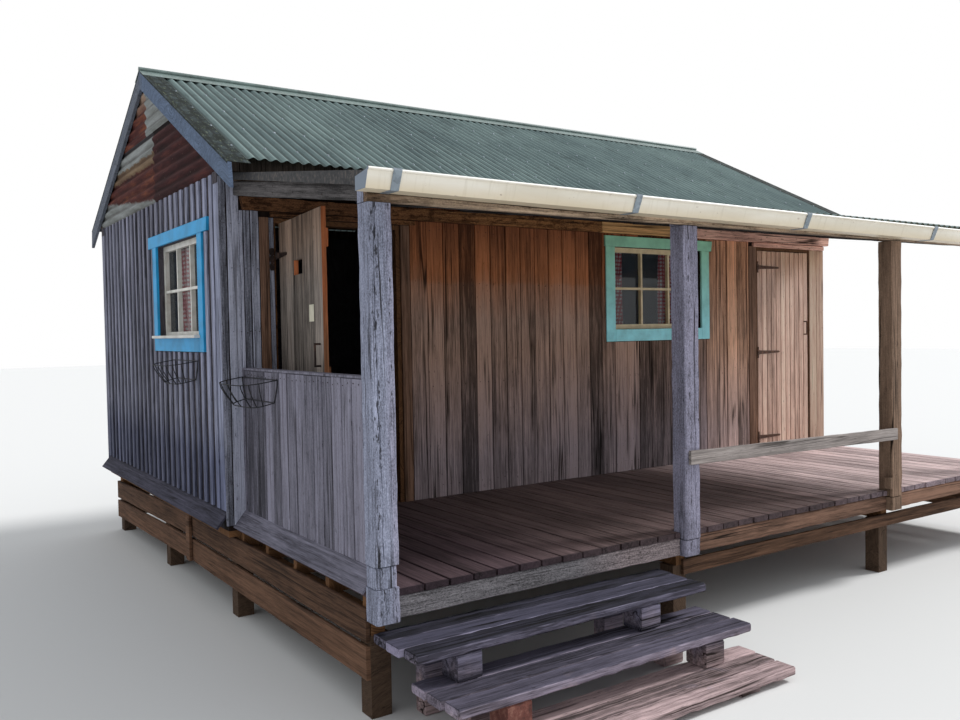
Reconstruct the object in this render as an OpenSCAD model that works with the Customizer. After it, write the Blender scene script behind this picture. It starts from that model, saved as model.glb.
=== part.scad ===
// Shepherds hut: a small boarded hut on timber stumps, with a gabled iron roof
// and a boarded veranda along its front under a lower skillion roof.
// Millimetres. X runs along the front wall, Y towards the back wall, Z up from the ground.
// Pieces are placed from the left end of the front wall, then the whole hut is centred.

/* [House] */
// Length of the house along its front wall
house_l = 6360; // [6300:10:7200]
// Depth of the house from the front wall to the back wall
house_w = 3550; // [3300:10:4400]
// Thickness of the boarded walls
wall_t = 90; // [70:5:120]
// Height of the boarded walls, from the floor frame to the wall plates
wall_h = 2270; // [2200:10:2500]
// Depth of the wall plates
plate_h = 75; // [50:5:100]

/* [Base] */
// Height of the floor frame's top above the ground
base_h = 600; // [560:10:900]
// Thickness of the floor boards
floor_t = 35; // [20:1:45]
// Depth of the joists under the floors
joist_h = 90; // [70:5:110]
// Width of a joist
joist_w = 45; // [35:5:60]
// Distance between the house joists
joist_gap = 500; // [350:10:700]
// Depth of the bearers under the joists
bearer_h = 100; // [75:5:125]
// Width of a bearer
bearer_w = 75; // [60:5:100]
// Width of a square stump
stump_w = 110; // [90:5:125]
// Height of one plinth board
plinth_h = 166; // [140:2:170]
// Gap between the two plinth boards
plinth_gap = 20; // [10:2:30]
// Thickness of a plinth board
plinth_t = 25; // [15:1:30]
// Drop from the floor frame's top to the upper plinth board at the veranda
plinth_drop = 55; // [50:1:70]
// Fall of the upper plinth boards from there to the back corners
plinth_fall = 68; // [40:2:80]
// Distance of the joint in the side plinth boards behind the front wall
plinth_joint = 1040; // [900:10:1200]
// Width of the cleat over that joint
cleat_w = 90; // [70:5:110]
// Distance of the plinth boards' faces in from the wall faces
plinth_inset = 45; // [30:5:60]
// Reach of the sloping drip boards from the wall
drip_reach = 85; // [60:5:110]
// Fall of a drip board over its reach
drip_fall = 105; // [70:5:130]
// Thickness of a drip board
drip_t = 22; // [15:1:30]
// Height of the drip boards' upper edge above the floor frame
drip_top = 130; // [110:5:150]

/* [Roof] */
// Pitch of the main roof in degrees
roof_pitch = 27.3; // [22:0.1:32]
// Reach of the main roof's iron past the front and back walls
eave_reach = 170; // [140:10:200]
// Reach of the verge flashings past the front and back walls
verge_reach = 300; // [260:10:320]
// Thickness of the boards that close the eaves
eave_board_t = 22; // [18:1:30]
// Depth of a rafter
rafter_d = 110; // [90:5:130]
// Thickness of a rafter and of the ridge board
rafter_t = 45; // [35:5:55]
// Number of rafter pairs
rafter_pairs = 8; // [6:1:10]
// Depth of the seat that each rafter takes on the wall plate
rafter_seat = 20; // [10:1:30]
// Thickness of a roof batten
batten_t = 35; // [25:1:45]
// Width of a roof batten
batten_w = 70; // [50:5:90]
// Number of battens on each slope
batten_rows = 5; // [4:1:7]
// Pitch of the corrugations in the iron
wave_pitch = 76; // [60:1:90]
// Depth of the corrugations in the iron
wave_depth = 17; // [12:1:20]
// Thickness of the iron
iron_t = 1.5; // [1:0.1:2.5]
// Width of one wing of the ridge cap
cap_wing = 150; // [110:5:190]
// Radius of the roll along the ridge cap
cap_roll = 18; // [12:1:24]
// Width of the flat flashing along each verge
verge_w = 150; // [110:5:190]
// Depth of a bargeboard, square to its length
barge_d = 130; // [110:5:180]
// Thickness of a bargeboard
barge_t = 25; // [18:1:30]
// Height of the lower course of iron in each gable
gable_course = 590; // [450:10:650]

/* [Veranda] */
// Depth of the veranda deck from the front wall to its edge
veranda_d = 1940; // [1700:10:2200]
// Pitch of the veranda roof in degrees
veranda_pitch = 8.53; // [7:0.01:9.6]
// Height of the ledger's underside above the floor frame
ledger_z = 2100; // [2060:10:2110]
// Depth of the ledger on the front wall
ledger_h = 90; // [80:5:120]
// Thickness of the ledger and the deck's front beam
beam_t = 50; // [40:5:60]
// Thickness of the veranda's front beam, let into the fronts of the posts
post_proud = 45; // [35:5:50]
// Length of the ledger past the house's right end
ledger_over = 52; // [20:2:54]
// Depth of the veranda rafters
v_rafter_h = 95; // [80:5:100]
// Number of veranda rafters
v_rafters = 8; // [6:1:10]
// Distance of the veranda roof's ends in from the house's ends
veranda_inset = 70; // [60:5:90]
// Width of a veranda post, along the front
post_w = 130; // [110:5:150]
// Depth of a veranda post, front to back
post_d = 115; // [100:5:130]
// Distance of the first and last posts in from the house's ends
post_inset = 47; // [40:1:60]
// Distance from the first post to the second
post_2_x = 2101; // [1900:1:2200]
// Distance from the first post to the third
post_3_x = 4298; // [4100:1:4400]
// Height of the first post's foot above the floor frame
first_foot = 165; // [120:5:220]
// Depth of the deck's front beam
deck_beam_h = 112; // [90:2:112]
// Number of joists under the deck
deck_joists = 5; // [4:1:7]
// Height of the veranda's end wall above the deck
half_wall_h = 1032; // [900:2:1100]
// Thickness of the boards of the veranda's end wall
half_wall_t = 25; // [18:1:30]
// Distance of the veranda's end wall in from the posts' outer faces
half_wall_inset = 63; // [50:1:70]
// Depth of the rail between the posts
rail_h = 88; // [60:2:110]
// Height of the rail's left end above the floor frame
rail_z = 536; // [400:1:700]
// Fall of the rail over its bay
rail_drop = 29; // [0:1:60]
// Thickness of the rail
rail_t = 25; // [18:1:30]

/* [Gutter] */
// Width of the gutter
gutter_w = 130; // [110:5:140]
// Height of the gutter's front
gutter_h = 86; // [80:1:92]
// Width by which the gutter is narrower at its bottom
gutter_taper = 30; // [10:2:40]
// Fall of the gutter to the right, in degrees
gutter_fall = 0.4; // [0.2:0.05:0.5]
// Radius of the roll along the gutter's lip
gutter_lip = 8; // [5:1:10]
// Length of the gutter past the first and last posts
gutter_over = 62; // [30:2:70]
// Width of the straps round the gutter
gutter_strap_w = 45; // [30:5:50]
// Number of straps round the gutter
gutter_straps_n = 5; // [4:1:7]

/* [Steps] */
// Fall from the deck beam's top to the top step
step_1_fall = 165; // [150:5:190]
// Fall from one step to the next
step_rise = 178; // [160:2:190]
// Thickness of a step's sleepers
tread_t = 50; // [40:2:60]
// Width of one sleeper
sleeper_w = 130; // [110:2:150]
// Number of sleepers side by side in a step
sleepers = 3; // [2:1:3]
// Gap between sleepers
sleeper_gap = 5; // [3:1:8]
// Distance of each step in front of the one above
step_going = 245; // [220:5:270]
// Length of a step
step_l = 1920; // [1600:10:2000]
// Distance of each step to the right of the one above
step_shift = 70; // [0:5:90]
// Width of the blocks under the steps
block_w = 140; // [100:5:160]

/* [Windows] */
// Width of a window opening
window_w = 1080; // [900:10:1100]
// Height of a window opening
window_h = 712; // [600:2:740]
// Height of the window openings' sills above the floor frame
window_sill = 1275; // [1200:5:1300]
// Distance of the front window from the house's left end
front_window_x = 3415; // [3200:5:3600]
// Distance of the end windows behind the front wall
end_window_y = 470; // [380:5:520]
// Width of the boards round a window
casing_w = 105; // [90:5:120]
// Thickness of the boards round a window
casing_t = 22; // [18:1:25]
// Height of the head board over a window
head_h = 94; // [80:2:96]
// Length of the end windows' head boards past the side boards
head_over = 120; // [60:5:125]
// Distance of the sashes behind the wall's face
sash_recess = 40; // [25:1:45]
// Thickness of a sash
sash_t = 32; // [25:1:40]
// Width of a sash's stiles and rails
stile_w = 42; // [35:1:60]
// Width of a sash bar
bar_w = 20; // [14:1:26]
// Thickness of the glass
glass_t = 4; // [3:0.5:6]

/* [Doors] */
// Distance of the front door opening from the house's left end
front_door_x = 367; // [340:1:420]
// Width of the front door opening between its jambs
front_door_w = 915; // [800:5:930]
// Distance of the store door opening from the house's right end
store_door_gap = 245; // [238:1:300]
// Width of the store door opening between its jambs
store_door_w = 808; // [760:1:830]
// Height of the door openings above the floor frame
door_top = 2028; // [1990:2:2040]
// Thickness of the door jambs and heads
jamb_t = 32; // [25:1:40]
// Thickness of the boards of a door
door_t = 30; // [22:1:35]
// Gap round a closed door
door_gap = 6; // [5:1:10]
// Thickness of the ledges across the back of a door
ledge_t = 25; // [18:1:30]
// Height of a ledge
ledge_h = 110; // [80:5:140]
// Opening of the front door at rest, in degrees
door_rest = 96; // [0:1:98]
// Radius of the hinge knuckles
knuckle_r = 9; // [7:0.5:11]
// Height of a hinge strap
strap_h = 38; // [28:2:50]
// Length of a hinge strap
strap_l = 330; // [240:10:420]
// Thickness of the hinge straps
strap_t = 4; // [3:0.5:6]
// Height of a door's pull handle
handle_h = 130; // [110:5:160]
// Radius of the handle's rod
handle_r = 6; // [4:0.5:8]
// Reach of the handle from the door
handle_reach = 40; // [30:1:55]

/* [Hidden] */

// Heights
floor_top = base_h + floor_t;
bearer_top = base_h - joist_h;
stump_top = bearer_top - bearer_h;
plate_z = base_h + wall_h;
plate_top = plate_z + plate_h;
// Slope of the main roof: rise for each millimetre run, and the vertical cut of a square depth
slope = tan(roof_pitch);
upright = 1 / cos(roof_pitch);
ridge_y = house_w / 2;
rafter_low = plate_top - rafter_seat;
rafter_top = rafter_low + rafter_d * upright;
iron_low = rafter_top + batten_t * upright;
iron_ridge = iron_low + ridge_y * slope;
// The gable: iron over the wall face, then the bargeboard outside it
infill_d = wave_depth + 2 * iron_t;
lap = iron_t + 0.3;
barge_in = infill_d + 2 * lap;
verge_out = barge_in + barge_t;
sheet_gap = 1;
sheet_x = sheet_gap - barge_in;
crest = wave_depth + iron_t;
sheet_run = (ridge_y + eave_reach) * upright;
ridge_low = rafter_low + ridge_y * slope - rafter_t;
ridge_clear = 25;
barge_h = barge_d * upright;
barge_end = verge_reach + 12;
barge_tip = barge_end + 0.17 * barge_h;
facets_per_wave = 8;
// Clearance of the battens over the rafters and the front beam
batten_seat = 0.3;
// The veranda
v_slope = tan(veranda_pitch);
ledger_low = base_h + ledger_z;
v_rafter_low = ledger_low + ledger_h;
v_rafter_top = v_rafter_low + v_rafter_h;
v_batten_t = 35;
v_iron_low = v_rafter_top + v_batten_t;
deck_beam_back = veranda_d - beam_t;
beam_low = v_rafter_low - veranda_d * v_slope - 4;
post_front = veranda_d + post_proud;
tongue_top = v_rafter_top - veranda_d * v_slope - 4;
post_back = post_front - post_d;
post_x = [post_inset, post_inset + post_2_x, post_inset + post_3_x,
    house_l - post_inset - post_w];
post_foot = [first_foot, -10, -10, -10];
packer_low = base_h - deck_beam_h;
v_sheet_out = post_front + 50;
half_wall_x = post_inset + half_wall_inset;
// The windows and doors
store_door_x = house_l - store_door_gap - store_door_w;
front_openings = [[front_door_x, front_door_w], [store_door_x, store_door_w]];
door_top_z = base_h + door_top;
sill_z = base_h + window_sill;
pane_cols = 3;
hinge_y = knuckle_r + 6.5;

// Places the hut with its origin at the middle of its footprint, on the ground
steps_front = veranda_d - 40 + 2 * step_going + sleepers * sleeper_w
    + (sleepers - 1) * sleeper_gap;
centre_y = (house_w + barge_tip - steps_front) / 2;
module in_place() {
    translate([-house_l / 2, -centre_y, 0]) children();
}

// A box from its low corner to its high corner
module box(low, high) {
    translate(low) cube(high - low);
}

// The same piece at the left end and, mirrored, at the right end
module right_end() {
    translate([house_l, 0, 0]) mirror([1, 0, 0]) children();
}

module both_ends() {
    children();
    right_end() children();
}

// The same piece on the front slope and, mirrored, on the back slope
module back_slope() {
    translate([0, house_w, 0]) mirror([0, 1, 0]) children();
}

module both_slopes() {
    children();
    back_slope() children();
}

// Even spacing of n pieces of width w from a to b
function spread(a, b, w, n) = [for (i = [0 : n - 1]) a + i * (b - w - a) / (n - 1)];

// Outline of corrugated iron across a width, with its wave standing up from y = 0
function wave(width, lift) = [for (i = [0 : ceil(width / wave_pitch * facets_per_wave)])
    let (x = min(width, i * wave_pitch / facets_per_wave))
    [x, lift + wave_depth / 2 * (1 - cos(360 * x / wave_pitch))]];
function reversed(list) = [for (i = [len(list) - 1 : -1 : 0]) list[i]];
module iron_outline(width) {
    polygon(concat(wave(width, 0), reversed(wave(width, iron_t))));
}

// Iron laid down a slope from a ridge line, running towards the front
module laid(x, y, z, pitch, run) {
    translate([x, y, z]) rotate([pitch, 0, 0]) rotate([90, 0, 0])
        linear_extrude(run) children();
}

// An outline drawn in Y and Z, carried along X
module along_x(x0, x1) {
    translate([x0, 0, 0]) rotate([90, 0, 90]) linear_extrude(x1 - x0) children();
}

// An outline drawn in X and Z, carried along Y
module along_y(y0, y1) {
    translate([0, y1, 0]) rotate([90, 0, 0]) linear_extrude(y1 - y0) children();
}

// Stumps from the ground to the bearers, under the walls, the deck and the posts
stump_in = plinth_inset + plinth_t;
end_plate_h = 40;
stump_x = spread(stump_in, house_l - stump_in, stump_w, 5);
module floor_stumps() {
    color("saddlebrown") in_place() {
        for (x = stump_x) {
            box([x, stump_in, 0], [x + stump_w, stump_in + stump_w, stump_top]);
            box([x, ridge_y - stump_w / 2, 0], [x + stump_w, ridge_y + stump_w / 2, stump_top]);
            box([x, house_w - stump_in - stump_w, 0],
                [x + stump_w, house_w - stump_in, stump_top]);
        }
        for (x = [stump_x[0], post_x[1], post_x[2], stump_x[4]])
            box([x, -post_back, 0], [x + stump_w, stump_w - post_back, stump_top]);
    }
}

// Bearers along the house on the stumps
module floor_bearers() {
    color("sienna") in_place() {
        for (y = [stump_in, ridge_y - bearer_w / 2, house_w - stump_in - bearer_w])
            box([stump_in, y, stump_top], [house_l - stump_in, y + bearer_w, bearer_top]);
    }
}

// Joists across the bearers, with a plate over the end joists under the end walls
module floor_joists() {
    n = ceil((house_l - 2 * stump_in - joist_w) / joist_gap) + 1;
    color("sienna") in_place() {
        for (x = spread(stump_in, house_l - stump_in, joist_w, n))
            box([x, 0, bearer_top], [x + joist_w, house_w, base_h]);
        both_ends() box([0, 0, base_h - end_plate_h], [stump_in + joist_w, house_w, base_h]);
    }
}

// Floor inside the walls
module floor_boards() {
    color("peru") in_place()
        box([wall_t, wall_t, base_h], [house_l - wall_t, house_w - wall_t, floor_top]);
}

// Two boards one above the other, drawn from their upper left corner, falling to the right
module plinth_pair(length, fall) {
    for (z = [0, -plinth_h - plinth_gap])
        polygon([[0, z], [length, z - fall], [length, z - fall - plinth_h], [0, z - plinth_h]]);
}

// Plinth boards on the stumps: in two lengths at the ends, along the back, and one board
// under the deck right of the steps
module plinth_side() {
    run = house_w - plinth_inset - plinth_t - plinth_joint;
    along_x(plinth_inset, plinth_inset + plinth_t) {
        translate([-post_back, base_h - plinth_drop]) plinth_pair(post_back + plinth_joint, 0);
        translate([plinth_joint, base_h - plinth_drop]) plinth_pair(run, plinth_fall);
    }
    box([plinth_inset - plinth_t, plinth_joint - cleat_w / 2, cleat_low],
        [plinth_inset, plinth_joint + cleat_w / 2, base_h - plinth_drop]);
}

cleat_low = base_h - plinth_drop - 2 * plinth_h - plinth_gap;
deck_plinth_low = 350;
deck_plinth_h = 95;
deck_plinth_gap = 2;
module plinth_boards() {
    color("chocolate") in_place() {
        both_ends() plinth_side();
        translate([0, house_w - plinth_inset, base_h - plinth_drop - plinth_fall])
            rotate([90, 0, 0]) linear_extrude(plinth_t)
            translate([plinth_inset, 0]) plinth_pair(house_l - 2 * plinth_inset, 0);
        box([post_x[1] + post_w / 2, -post_back - plinth_t, deck_plinth_low],
            [house_l - stump_in - deck_plinth_gap, -post_back, deck_plinth_low + deck_plinth_h]);
    }
}

// One length of boarded wall in the front wall
module front_slab(x0, x1, z0) {
    box([x0, 0, z0], [x1, wall_t, plate_z]);
}

module front_wall_left() {
    color("sienna") in_place() front_slab(0, front_door_x - jamb_t, base_h);
}

module front_wall_middle() {
    color("sienna") in_place() difference() {
        front_slab(front_door_x + front_door_w + jamb_t, store_door_x - jamb_t, base_h);
        box([front_window_x, -1, sill_z], [front_window_x + window_w, wall_t + 1,
            sill_z + window_h]);
    }
}

module front_wall_right() {
    color("sienna") in_place()
        front_slab(store_door_x + store_door_w + jamb_t, house_l, base_h);
}

module door_lintels() {
    color("sienna") in_place()
        for (d = front_openings)
            front_slab(d[0] - jamb_t, d[0] + d[1] + jamb_t, door_top_z + jamb_t);
}

// An end wall, with its window and the three studs that carry the gable iron
module end_wall() {
    difference() {
        box([0, wall_t, base_h], [wall_t, house_w - wall_t, plate_top]);
        box([-1, end_window_y, sill_z], [wall_t + 1, end_window_y + window_w,
            sill_z + window_h]);
    }
    for (y = [house_w / 4, house_w / 2, house_w * 3 / 4])
        intersection() {
            box([0, y - joist_w / 2, plate_top - 1],
                [rafter_t, y + joist_w / 2, ridge_low]);
            along_x(0, rafter_t) polygon([[0, rafter_low], [ridge_y, rafter_low
                + ridge_y * slope], [house_w, rafter_low], [house_w, 0], [0, 0]]);
        }
}

module left_wall() {
    color("slategray") in_place() end_wall();
}

module right_wall() {
    color("slategray") in_place() right_end() end_wall();
}

module back_wall() {
    color("slategray") in_place()
        box([0, house_w - wall_t, base_h], [house_l, house_w, plate_z]);
}

// Plates along the tops of the front and back walls, run out to the bargeboards
module wall_plates() {
    color("tan") in_place() both_slopes()
        box([-infill_d, 0, plate_z], [house_l + infill_d, wall_t, plate_top]);
}

// Rafters in pairs against the ridge board, notched over the wall plates
module rafter_outline() {
    difference() {
        polygon([[0, rafter_low], [0, rafter_top],
            [ridge_y - rafter_t / 2, rafter_top + (ridge_y - rafter_t / 2) * slope],
            [ridge_y - rafter_t / 2, rafter_low + (ridge_y - rafter_t / 2) * slope]]);
        translate([-1, plate_top - wall_t]) square([wall_t + 1, wall_t]);
    }
}

module slope_rafters() {
    for (x = spread(0, house_l, rafter_t, rafter_pairs))
        along_x(x, x + rafter_t) rafter_outline();
}

module rafters_front() {
    color("burlywood") in_place() slope_rafters();
}

module rafters_back() {
    color("burlywood") in_place() back_slope() slope_rafters();
}

module ridge_board() {
    top = rafter_top + (ridge_y - rafter_t / 2) * slope;
    color("burlywood") in_place()
        box([0, ridge_y - rafter_t / 2, ridge_low], [house_l, ridge_y + rafter_t / 2, top]);
}

// Battens across the rafters, run out to the bargeboards
module slope_battens() {
    for (s = spread(80, ridge_y * upright, batten_w, batten_rows))
        translate([-barge_in, ridge_y, iron_ridge]) rotate([roof_pitch, 0, 0])
            translate([0, -s - batten_w, -batten_t + batten_seat])
                cube([house_l + 2 * barge_in, batten_w, batten_t - batten_seat]);
}

module roof_battens_front() {
    color("burlywood") in_place() slope_battens();
}

module roof_battens_back() {
    color("burlywood") in_place() back_slope() slope_battens();
}

// Boards that close the eaves from the wall plates to the rafters' tops, between the barges
module eave_boards() {
    color("gray") in_place() both_slopes()
        box([-barge_in, -eave_board_t, plate_top], [house_l + barge_in, 0, rafter_top]);
}

// Corrugated iron on the main roof, between the bargeboards
module main_sheets() {
    laid(sheet_x, ridge_y, iron_ridge, roof_pitch, sheet_run)
        iron_outline(house_l - 2 * sheet_x);
}

module below_ridge() {
    intersection() {
        children();
        box([-500, -1000, 0], [house_l + 500, ridge_y - ridge_clear, iron_ridge + 500]);
    }
}

module roof_sheets_front() {
    color("darkseagreen") in_place() below_ridge() main_sheets();
}

module roof_sheets_back() {
    color("darkseagreen") in_place() back_slope() below_ridge() main_sheets();
}

// Ridge cap: two flat wings on the crests, with a roll along the top
cap_low = iron_ridge + (wave_depth + 2 * iron_t) * upright;
module ridge_cap() {
    reach = cap_wing * cos(roof_pitch);
    color("gainsboro") in_place() along_x(-verge_out - 6, house_l + verge_out + 6) union() {
        polygon([[ridge_y - reach, cap_low - reach * slope], [ridge_y, cap_low],
            [ridge_y + reach, cap_low - reach * slope],
            [ridge_y + reach, cap_low - reach * slope + iron_t * upright],
            [ridge_y, cap_low + iron_t * upright],
            [ridge_y - reach, cap_low - reach * slope + iron_t * upright]]);
        translate([ridge_y, cap_low + cap_roll / 2]) circle(r = cap_roll, $fn = 32);
    }
}

// Flat flashings over the ends of the roof iron, turned down over the bargeboards
verge_run = (ridge_y + verge_reach) * upright;
verge_lip = 12;
module verge_flashings() {
    color("darkolivegreen") in_place() both_ends() both_slopes() below_ridge()
        laid(0, ridge_y, iron_ridge, roof_pitch, verge_run) polygon([
            [-verge_out - iron_t, crest - verge_lip], [-verge_out, crest - verge_lip],
            [-verge_out, crest], [verge_w - verge_out, crest],
            [verge_w - verge_out, crest + iron_t], [-verge_out - iron_t, crest + iron_t]]);
}

// Bargeboards, in a pair at each end, up to the flashings, with their feet cut to a point
barge_rise = wave_depth * upright;
barge_peak = cap_low - cap_roll / 2 - 2;
module barge_outline() {
    translate([0, barge_rise]) polygon([[ridge_y, iron_ridge],
        [-barge_end, iron_low - barge_end * slope],
        [-barge_tip, iron_low - barge_tip * slope - barge_h],
        [ridge_y, iron_ridge - barge_h]]);
}

module bargeboards() {
    color("lightslategray") in_place() both_ends() both_slopes()
        along_x(-barge_in - barge_t, -barge_in) intersection() {
            barge_outline();
            translate([-1000, 0]) square([1000 + ridge_y - 1, barge_peak]);
        }
}

// Corrugated iron laid flat in the gables, as two lower sheets and one over them
module gable_iron(lift, z0, rise) {
    polygon([for (p = concat(wave(rise, lift), reversed(wave(rise, lift + iron_t))))
        [-p[1], z0 + p[0]]]);
}

module gable_sheets() {
    split_y = house_w * 0.42;
    top = rafter_top + ridge_y * slope - plate_top;
    intersection() {
        union() {
            along_y(split_y, house_w) gable_iron(0, plate_top, gable_course);
            along_y(0, split_y + wave_pitch) gable_iron(lap, plate_top, gable_course);
            along_y(0, house_w) gable_iron(2 * lap, plate_top + gable_course - wave_pitch / 2,
                top - gable_course);
        }
        along_x(-200, 10) polygon([[0, rafter_top], [ridge_y, rafter_top + ridge_y * slope],
            [house_w, rafter_top], [house_w, 0], [0, 0]]);
    }
}

module gable_sheets_left() {
    color("brown") in_place() gable_sheets();
}

module gable_sheets_right() {
    color("brown") in_place() right_end() gable_sheets();
}

// Ledger on the front wall, with its left end cut at a slant and its right end run past the wall
module veranda_ledger() {
    x0 = veranda_inset + 50;
    color("saddlebrown") in_place() along_y(-beam_t, 0) polygon([
        [x0 + 20, ledger_low], [x0, v_rafter_low], [house_l + ledger_over, v_rafter_low],
        [house_l + ledger_over, ledger_low]]);
}

// Height of a veranda line at a distance in front of the wall
function v_line(z, y) = z - y * v_slope;
v_end = veranda_inset + 12;
module veranda_rafters() {
    color("gray") in_place()
        for (x = spread(v_end, house_l - v_end, rafter_t, v_rafters))
            along_x(x, x + rafter_t) polygon([[0, v_rafter_low], [0, v_rafter_top],
                [-veranda_d, v_line(v_rafter_top, veranda_d)],
                [-veranda_d, v_line(v_rafter_low, veranda_d)],
                [-beam_t, v_line(v_rafter_low, beam_t)], [-beam_t, v_rafter_low]]);
}

module veranda_battens() {
    run = post_front / cos(veranda_pitch);
    color("gray") in_place()
        for (s = spread(20, run, batten_w, 3))
            translate([v_end, 0, v_iron_low]) rotate([veranda_pitch, 0, 0])
                translate([0, -s - batten_w, -v_batten_t * cos(veranda_pitch)])
                    cube([house_l - 2 * v_end, batten_w, v_batten_t * cos(veranda_pitch)]);
}

module veranda_roof_sheets() {
    color("darkseagreen") in_place() laid(veranda_inset, -2, v_iron_low, veranda_pitch,
        (v_sheet_out - 2) / cos(veranda_pitch))
        iron_outline(house_l - 2 * veranda_inset);
}

// Front beam on the posts' shoulders, against the ends of the rafters
module veranda_beam() {
    top = v_rafter_top - batten_seat;
    color("gray") in_place() along_x(post_inset, house_l - post_inset) polygon([
        [-post_front, beam_low], [-post_front, v_line(top, post_front)],
        [-veranda_d, v_line(top, veranda_d)], [-veranda_d, beam_low]]);
}

// The gutter's run, from its upper back corner at the left, falling to the right
gutter_top = beam_low + 127;
gutter_x = post_inset - gutter_over;
gutter_l = house_l - 2 * gutter_x;
gutter_back_fall = 20;
module along_gutter(x0, x1) {
    translate([gutter_x, -post_front, gutter_top]) rotate([0, gutter_fall, 0])
        along_x(x0, x1) children();
}

// Gutter: an open trough with a rolled lip and closed ends
module gutter() {
    foot = gutter_taper - gutter_w;
    color("ivory") in_place() {
        difference() {
            along_gutter(0, gutter_l) polygon([[0, -gutter_back_fall], [0, -gutter_h],
                [foot, -gutter_h], [-gutter_w, 0]]);
            along_gutter(iron_t, gutter_l - iron_t) polygon([[-iron_t, 50],
                [-iron_t, iron_t - gutter_h], [foot + iron_t, iron_t - gutter_h],
                [iron_t - gutter_w, 0], [iron_t - gutter_w, 50]]);
        }
        along_gutter(0, gutter_l) translate([1 - gutter_w, 0])
            circle(r = gutter_lip, $fn = 24);
    }
}

// Straps from the beam under the gutter, up its front and over its lip
module gutter_straps() {
    strap = 2;
    foot = gutter_taper - gutter_w;
    out = -gutter_w - gutter_lip;
    over = gutter_lip + 0.5;
    color("silver") in_place()
        for (x = spread(128, gutter_l - 128, gutter_strap_w, gutter_straps_n))
            along_gutter(x, x + gutter_strap_w) polygon([[0, -gutter_h], [foot, -gutter_h],
                [out, 0], [out, over], [gutter_lip - gutter_w, over],
                [gutter_lip - gutter_w, over + strap], [out - strap, over + strap],
                [out - strap, 0], [foot - strap, -gutter_h - strap], [0, -gutter_h - strap]]);
}

// Posts on packers: shoulders for the front beam, and heads slotted for the end rafters
rafter_slot = [[-veranda_d - 1, v_line(v_rafter_low, veranda_d + 1)],
    [-post_back + 1, v_line(v_rafter_low, post_back - 1)],
    [-post_back + 1, v_rafter_top], [-veranda_d - 1, v_rafter_top]];
module post(x, foot) {
    difference() {
        box([x, -post_front, base_h + foot], [x + post_w, -post_back, tongue_top]);
        box([x - 1, -post_front - 1, beam_low], [x + post_w + 1, -veranda_d, tongue_top + 1]);
        both_ends() along_x(v_end - 1, v_end + rafter_t + 1) polygon(rafter_slot);
    }
}

module veranda_posts() {
    color("lightslategray") in_place()
        for (i = [0 : 3])
            post(post_x[i], post_foot[i]);
}

module post_packers() {
    color("gray") in_place() {
        box([post_x[0] + 4, -post_front + 6, base_h + 60],
            [post_x[0] + post_w - 10, -post_back, base_h + first_foot]);
        box([post_x[0], -post_front - 4, packer_low],
            [post_x[0] + post_w, -post_back, base_h + 60]);
        for (i = [1 : 3])
            box([post_x[i] - 6, -post_front, packer_low],
                [post_x[i] + post_w - 4, -post_back, base_h + post_foot[i]]);
    }
}

// Deck boards, cut round the posts
module deck_boards() {
    color("saddlebrown") in_place() difference() {
        box([post_inset + 5, -veranda_d - 8, base_h], [house_l - post_inset - 5, 0, floor_top]);
        for (x = post_x)
            box([x - 12, -post_front - 10, base_h - 1],
                [x + post_w + 6, -post_back + 1, floor_top + 1]);
    }
}

module deck_joists() {
    color("sienna") in_place()
        for (y = spread(40, post_back - 30, joist_w, deck_joists))
            box([stump_in, -y - joist_w, bearer_top], [house_l - stump_in, -y, base_h]);
}

// Bearers from the deck's stumps back to the house
module deck_bearers() {
    color("sienna") in_place()
        for (x = post_x)
            translate([x + (post_w - bearer_w) / 2, -post_back, stump_top])
                cube([bearer_w, post_back + stump_in, bearer_h]);
}

// Front beam of the deck, between the posts
module deck_front_beam() {
    color("gray") in_place()
        for (i = [0 : 2])
            box([post_x[i] + post_w, -veranda_d, base_h - deck_beam_h],
                [post_x[i + 1] - 6, -deck_beam_back, base_h]);
}

// Boarded wall at the veranda's left end, with a rail along its top and its foot
module half_wall_left() {
    x1 = half_wall_x + half_wall_t;
    top = floor_top + half_wall_h;
    color("slategray") in_place() {
        box([half_wall_x, -post_back, floor_top], [x1, 0, top]);
        box([x1, -post_back, top - 70], [x1 + 45, 0, top]);
        box([x1, -post_back, floor_top], [x1 + 45, 0, floor_top + 70]);
    }
}

// A sloping rail across the fronts of the two middle posts
module veranda_rails() {
    x0 = post_x[1] + 15;
    x1 = post_x[2] + 30;
    z = base_h + rail_z;
    color("gray") in_place() along_y(-post_front - rail_t, -post_front) polygon([
        [x0, z - rail_h], [x0, z], [x1, z - rail_drop], [x1, z - rail_drop - rail_h]]);
}

// Sloping boards that throw water off the foot of the end walls
module drip_outline(x) {
    polygon([[x, base_h + drip_top], [x, base_h + drip_top - drip_t],
        [x - drip_reach, base_h + drip_top - drip_fall - drip_t],
        [x - drip_reach, base_h + drip_top - drip_fall]]);
}

module drip_boards() {
    color("gray") in_place() {
        both_ends() along_y(0, house_w) drip_outline(0);
        along_y(-post_back, 0) drip_outline(half_wall_x);
    }
}

// A step of sleepers side by side
function step_z(i) = base_h - step_1_fall - i * step_rise;
function step_y(i) = -veranda_d + 40 - i * step_going;
function step_x(i) = post_inset + 10 + i * step_shift;
step_d = sleepers * sleeper_w + (sleepers - 1) * sleeper_gap;
module step_tread(i) {
    for (k = [0 : sleepers - 1])
        translate([step_x(i), step_y(i) - (k + 1) * sleeper_w - k * sleeper_gap,
            step_z(i) - tread_t])
            cube([step_l, sleeper_w, tread_t]);
}

module step_top() {
    color("dimgray") in_place() step_tread(0);
}

module step_middle() {
    color("dimgray") in_place() step_tread(1);
}

module step_bottom() {
    color("dimgray") in_place() step_tread(2);
}

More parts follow.
